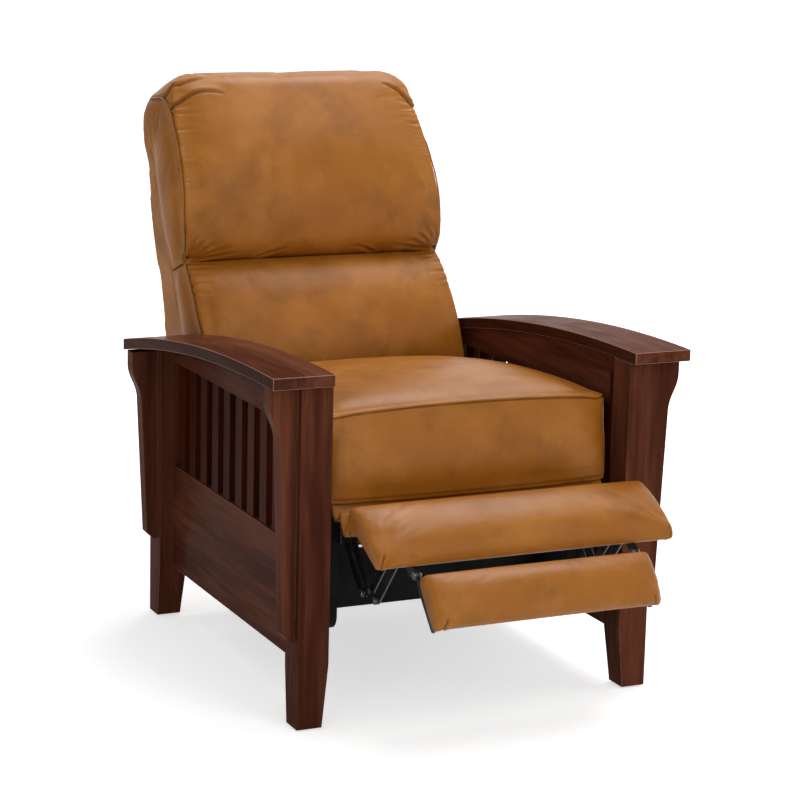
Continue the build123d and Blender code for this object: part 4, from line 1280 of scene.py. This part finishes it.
LAMPS = (  # name, place, aim, size, power, colour
    ("key", (0.3, -3.0, 1.2), (0, 0, 0.4), 3.0, 30.0, (1.0, 0.985, 0.965)),
    ("beam", (0.1, -1.7, 2.8), (0, -0.5, 0.35), 0.7, 11.0, (1.0, 0.985, 0.965)),
    ("fill", (3.2, -1.6, 1.6), (0, 0, 0.5), 2.0, 14.0, (0.97, 0.985, 1.0)),
    ("left", (-2.5, -2.6, 1.0), (0, 0, 0.5), 0.9, 10.0, (1.0, 0.99, 0.98)),
    ("top", (1.0, 0.9, 3.2), (0.1, 0.1, 0.5), 2.0, 76.0, (1.0, 0.985, 0.97)))


@dataclass
class PhotoStage:
    """Floor, lights and camera."""

    focal_pixels: float = 2514.3
    image_pixels: float = 800.0
    camera_place: Colour = (-1858.6, -3606.5, 1427.7)
    yaw: float = -0.43956
    pitch: float = 0.21634
    roll: float = 0.0245
    shadow_reach: float = 2.2
    near_white: float = 0.6
    sky: float = 0.38

    def camera(self) -> None:
        """Adds the camera at the photograph's viewing angle."""
        forward = Vector((-math.sin(self.yaw) * math.cos(self.pitch),
                          math.cos(self.yaw) * math.cos(self.pitch), -math.sin(self.pitch)))
        level = Vector((math.cos(self.yaw), math.sin(self.yaw), 0))
        upright = level.cross(forward)
        right = level * math.cos(self.roll) + upright * math.sin(self.roll)
        up = upright * math.cos(self.roll) - level * math.sin(self.roll)
        data = bpy.data.cameras.new("camera")
        data.sensor_width = 36.0
        data.lens = self.focal_pixels / self.image_pixels * data.sensor_width
        data.clip_end = 50.0
        camera = add_object("camera", data)
        turn = Matrix((right, up, -forward)).transposed().to_4x4()
        camera.matrix_world = Matrix.Translation(place(*self.camera_place)) @ turn
        bpy.context.scene.camera = camera

    def lamps(self) -> None:
        """Adds the soft square lamps, each of which looks at a point."""
        for name, at, aim, size, power, colour in LAMPS:
            data = bpy.data.lights.new(name, "AREA")
            data.size, data.energy, data.color = size, power, colour
            turn = (Vector(aim) - Vector(at)).to_track_quat("-Z", "Y").to_matrix().to_4x4()
            add_object(name, data).matrix_world = Matrix.Translation(Vector(at)) @ turn

    def floor(self) -> None:
        """Adds the pale floor, whose shade is white to the camera apart from the chair's shadow."""
        plane = bmesh.new()
        bmesh.ops.create_grid(plane, x_segments=1, y_segments=1, size=12)
        floor = add_object("floor", mesh_of("floor", plane))
        finish = Finish("floor_white")
        cloud = finish.noise(finish.plain, 3.0, 3.0)
        finish.feed("Base Color", finish.mix(cloud, (0.8, 0.8, 0.8), (0.82, 0.82, 0.82)))
        finish.feed("Roughness", 0.9)
        finish.feed("Specular IOR Level", 0.1)
        away = finish.add("VectorMath", {0: finish.plain}, operation="LENGTH").outputs["Value"]
        far = finish.ramp(away, self.shadow_reach * 0.45, self.shadow_reach)
        lift = finish.plus(finish.times(far, 1 - self.near_white), self.near_white)
        white = finish.add("Emission", {"Strength": finish.times(lift, finish.seen())}).outputs[0]
        both = finish.add("AddShader", {0: finish.shader.outputs[0], 1: white}).outputs[0]
        finish.put(both, finish.tree.nodes["Material Output"].inputs["Surface"])
        floor.data.materials.append(finish.material)

    def world(self) -> None:
        """Lights the scene evenly and shows white behind the chair."""
        world = bpy.data.worlds.new("studio")
        bpy.context.scene.world = world
        world.use_nodes = True
        nodes = Nodes(world.node_tree)
        background = world.node_tree.nodes["Background"].inputs
        strength = nodes.add("MapRange", {"Value": nodes.seen(), "To Min": self.sky, "To Max": 1.0})
        nodes.put(strength.outputs["Result"], background["Strength"])
        nodes.put((1, 1, 1), background["Color"])

    def build(self) -> None:
        """Builds the whole stage."""
        self.camera()
        self.floor()
        self.world()
        self.lamps()
        bpy.context.scene.view_settings.view_transform = "Standard"


def main() -> None:
    """Builds the looks in order."""
    logging.basicConfig(level=logging.INFO)
    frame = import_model()
    nodes = frame["nodes"]
    PhotoStage().build()
    WoodenFrame(nodes).build()
    ironwork(nodes)
    leather = WaxedLeather().build()
    # a brighter, less glossy copy of the leather for the faces that look to the sides: painted light
    lit_sides = WaxedLeather("lit_side_leather", light=(0.47, 0.18, 0.03), middle=(0.37, 0.13, 0.015),
                          dark=(0.22, 0.08, 0.008), shine=0.025).build()
    ReclinedBack(nodes, leather, lit_sides).build()
    BoxedSeat(nodes, leather, lit_sides).build()
    upper = FootPad(nodes, leather, "upper_pad", "footrest_pad", "footrest", rear_y=-45.0, rear_top=393.0,
                    slope=24.0, length=135.7, half_width=270.0)
    flip = upper.plane.at(0, 162.4, 13.1)
    lower = FootPad(nodes, leather, "lower_pad", "flip_pad", "flip_rest",
                    rear_y=flip.y / MM + CHAIR_MIDDLE_Y, rear_top=flip.z / MM, slope=47.0, length=93.0,
                    half_width=197.5, side_puff=2.4)
    upper.build()
    lower.build()
    Apron(leather).build()
    bpy.context.view_layer.update()


if __name__ == "__main__":
    main()
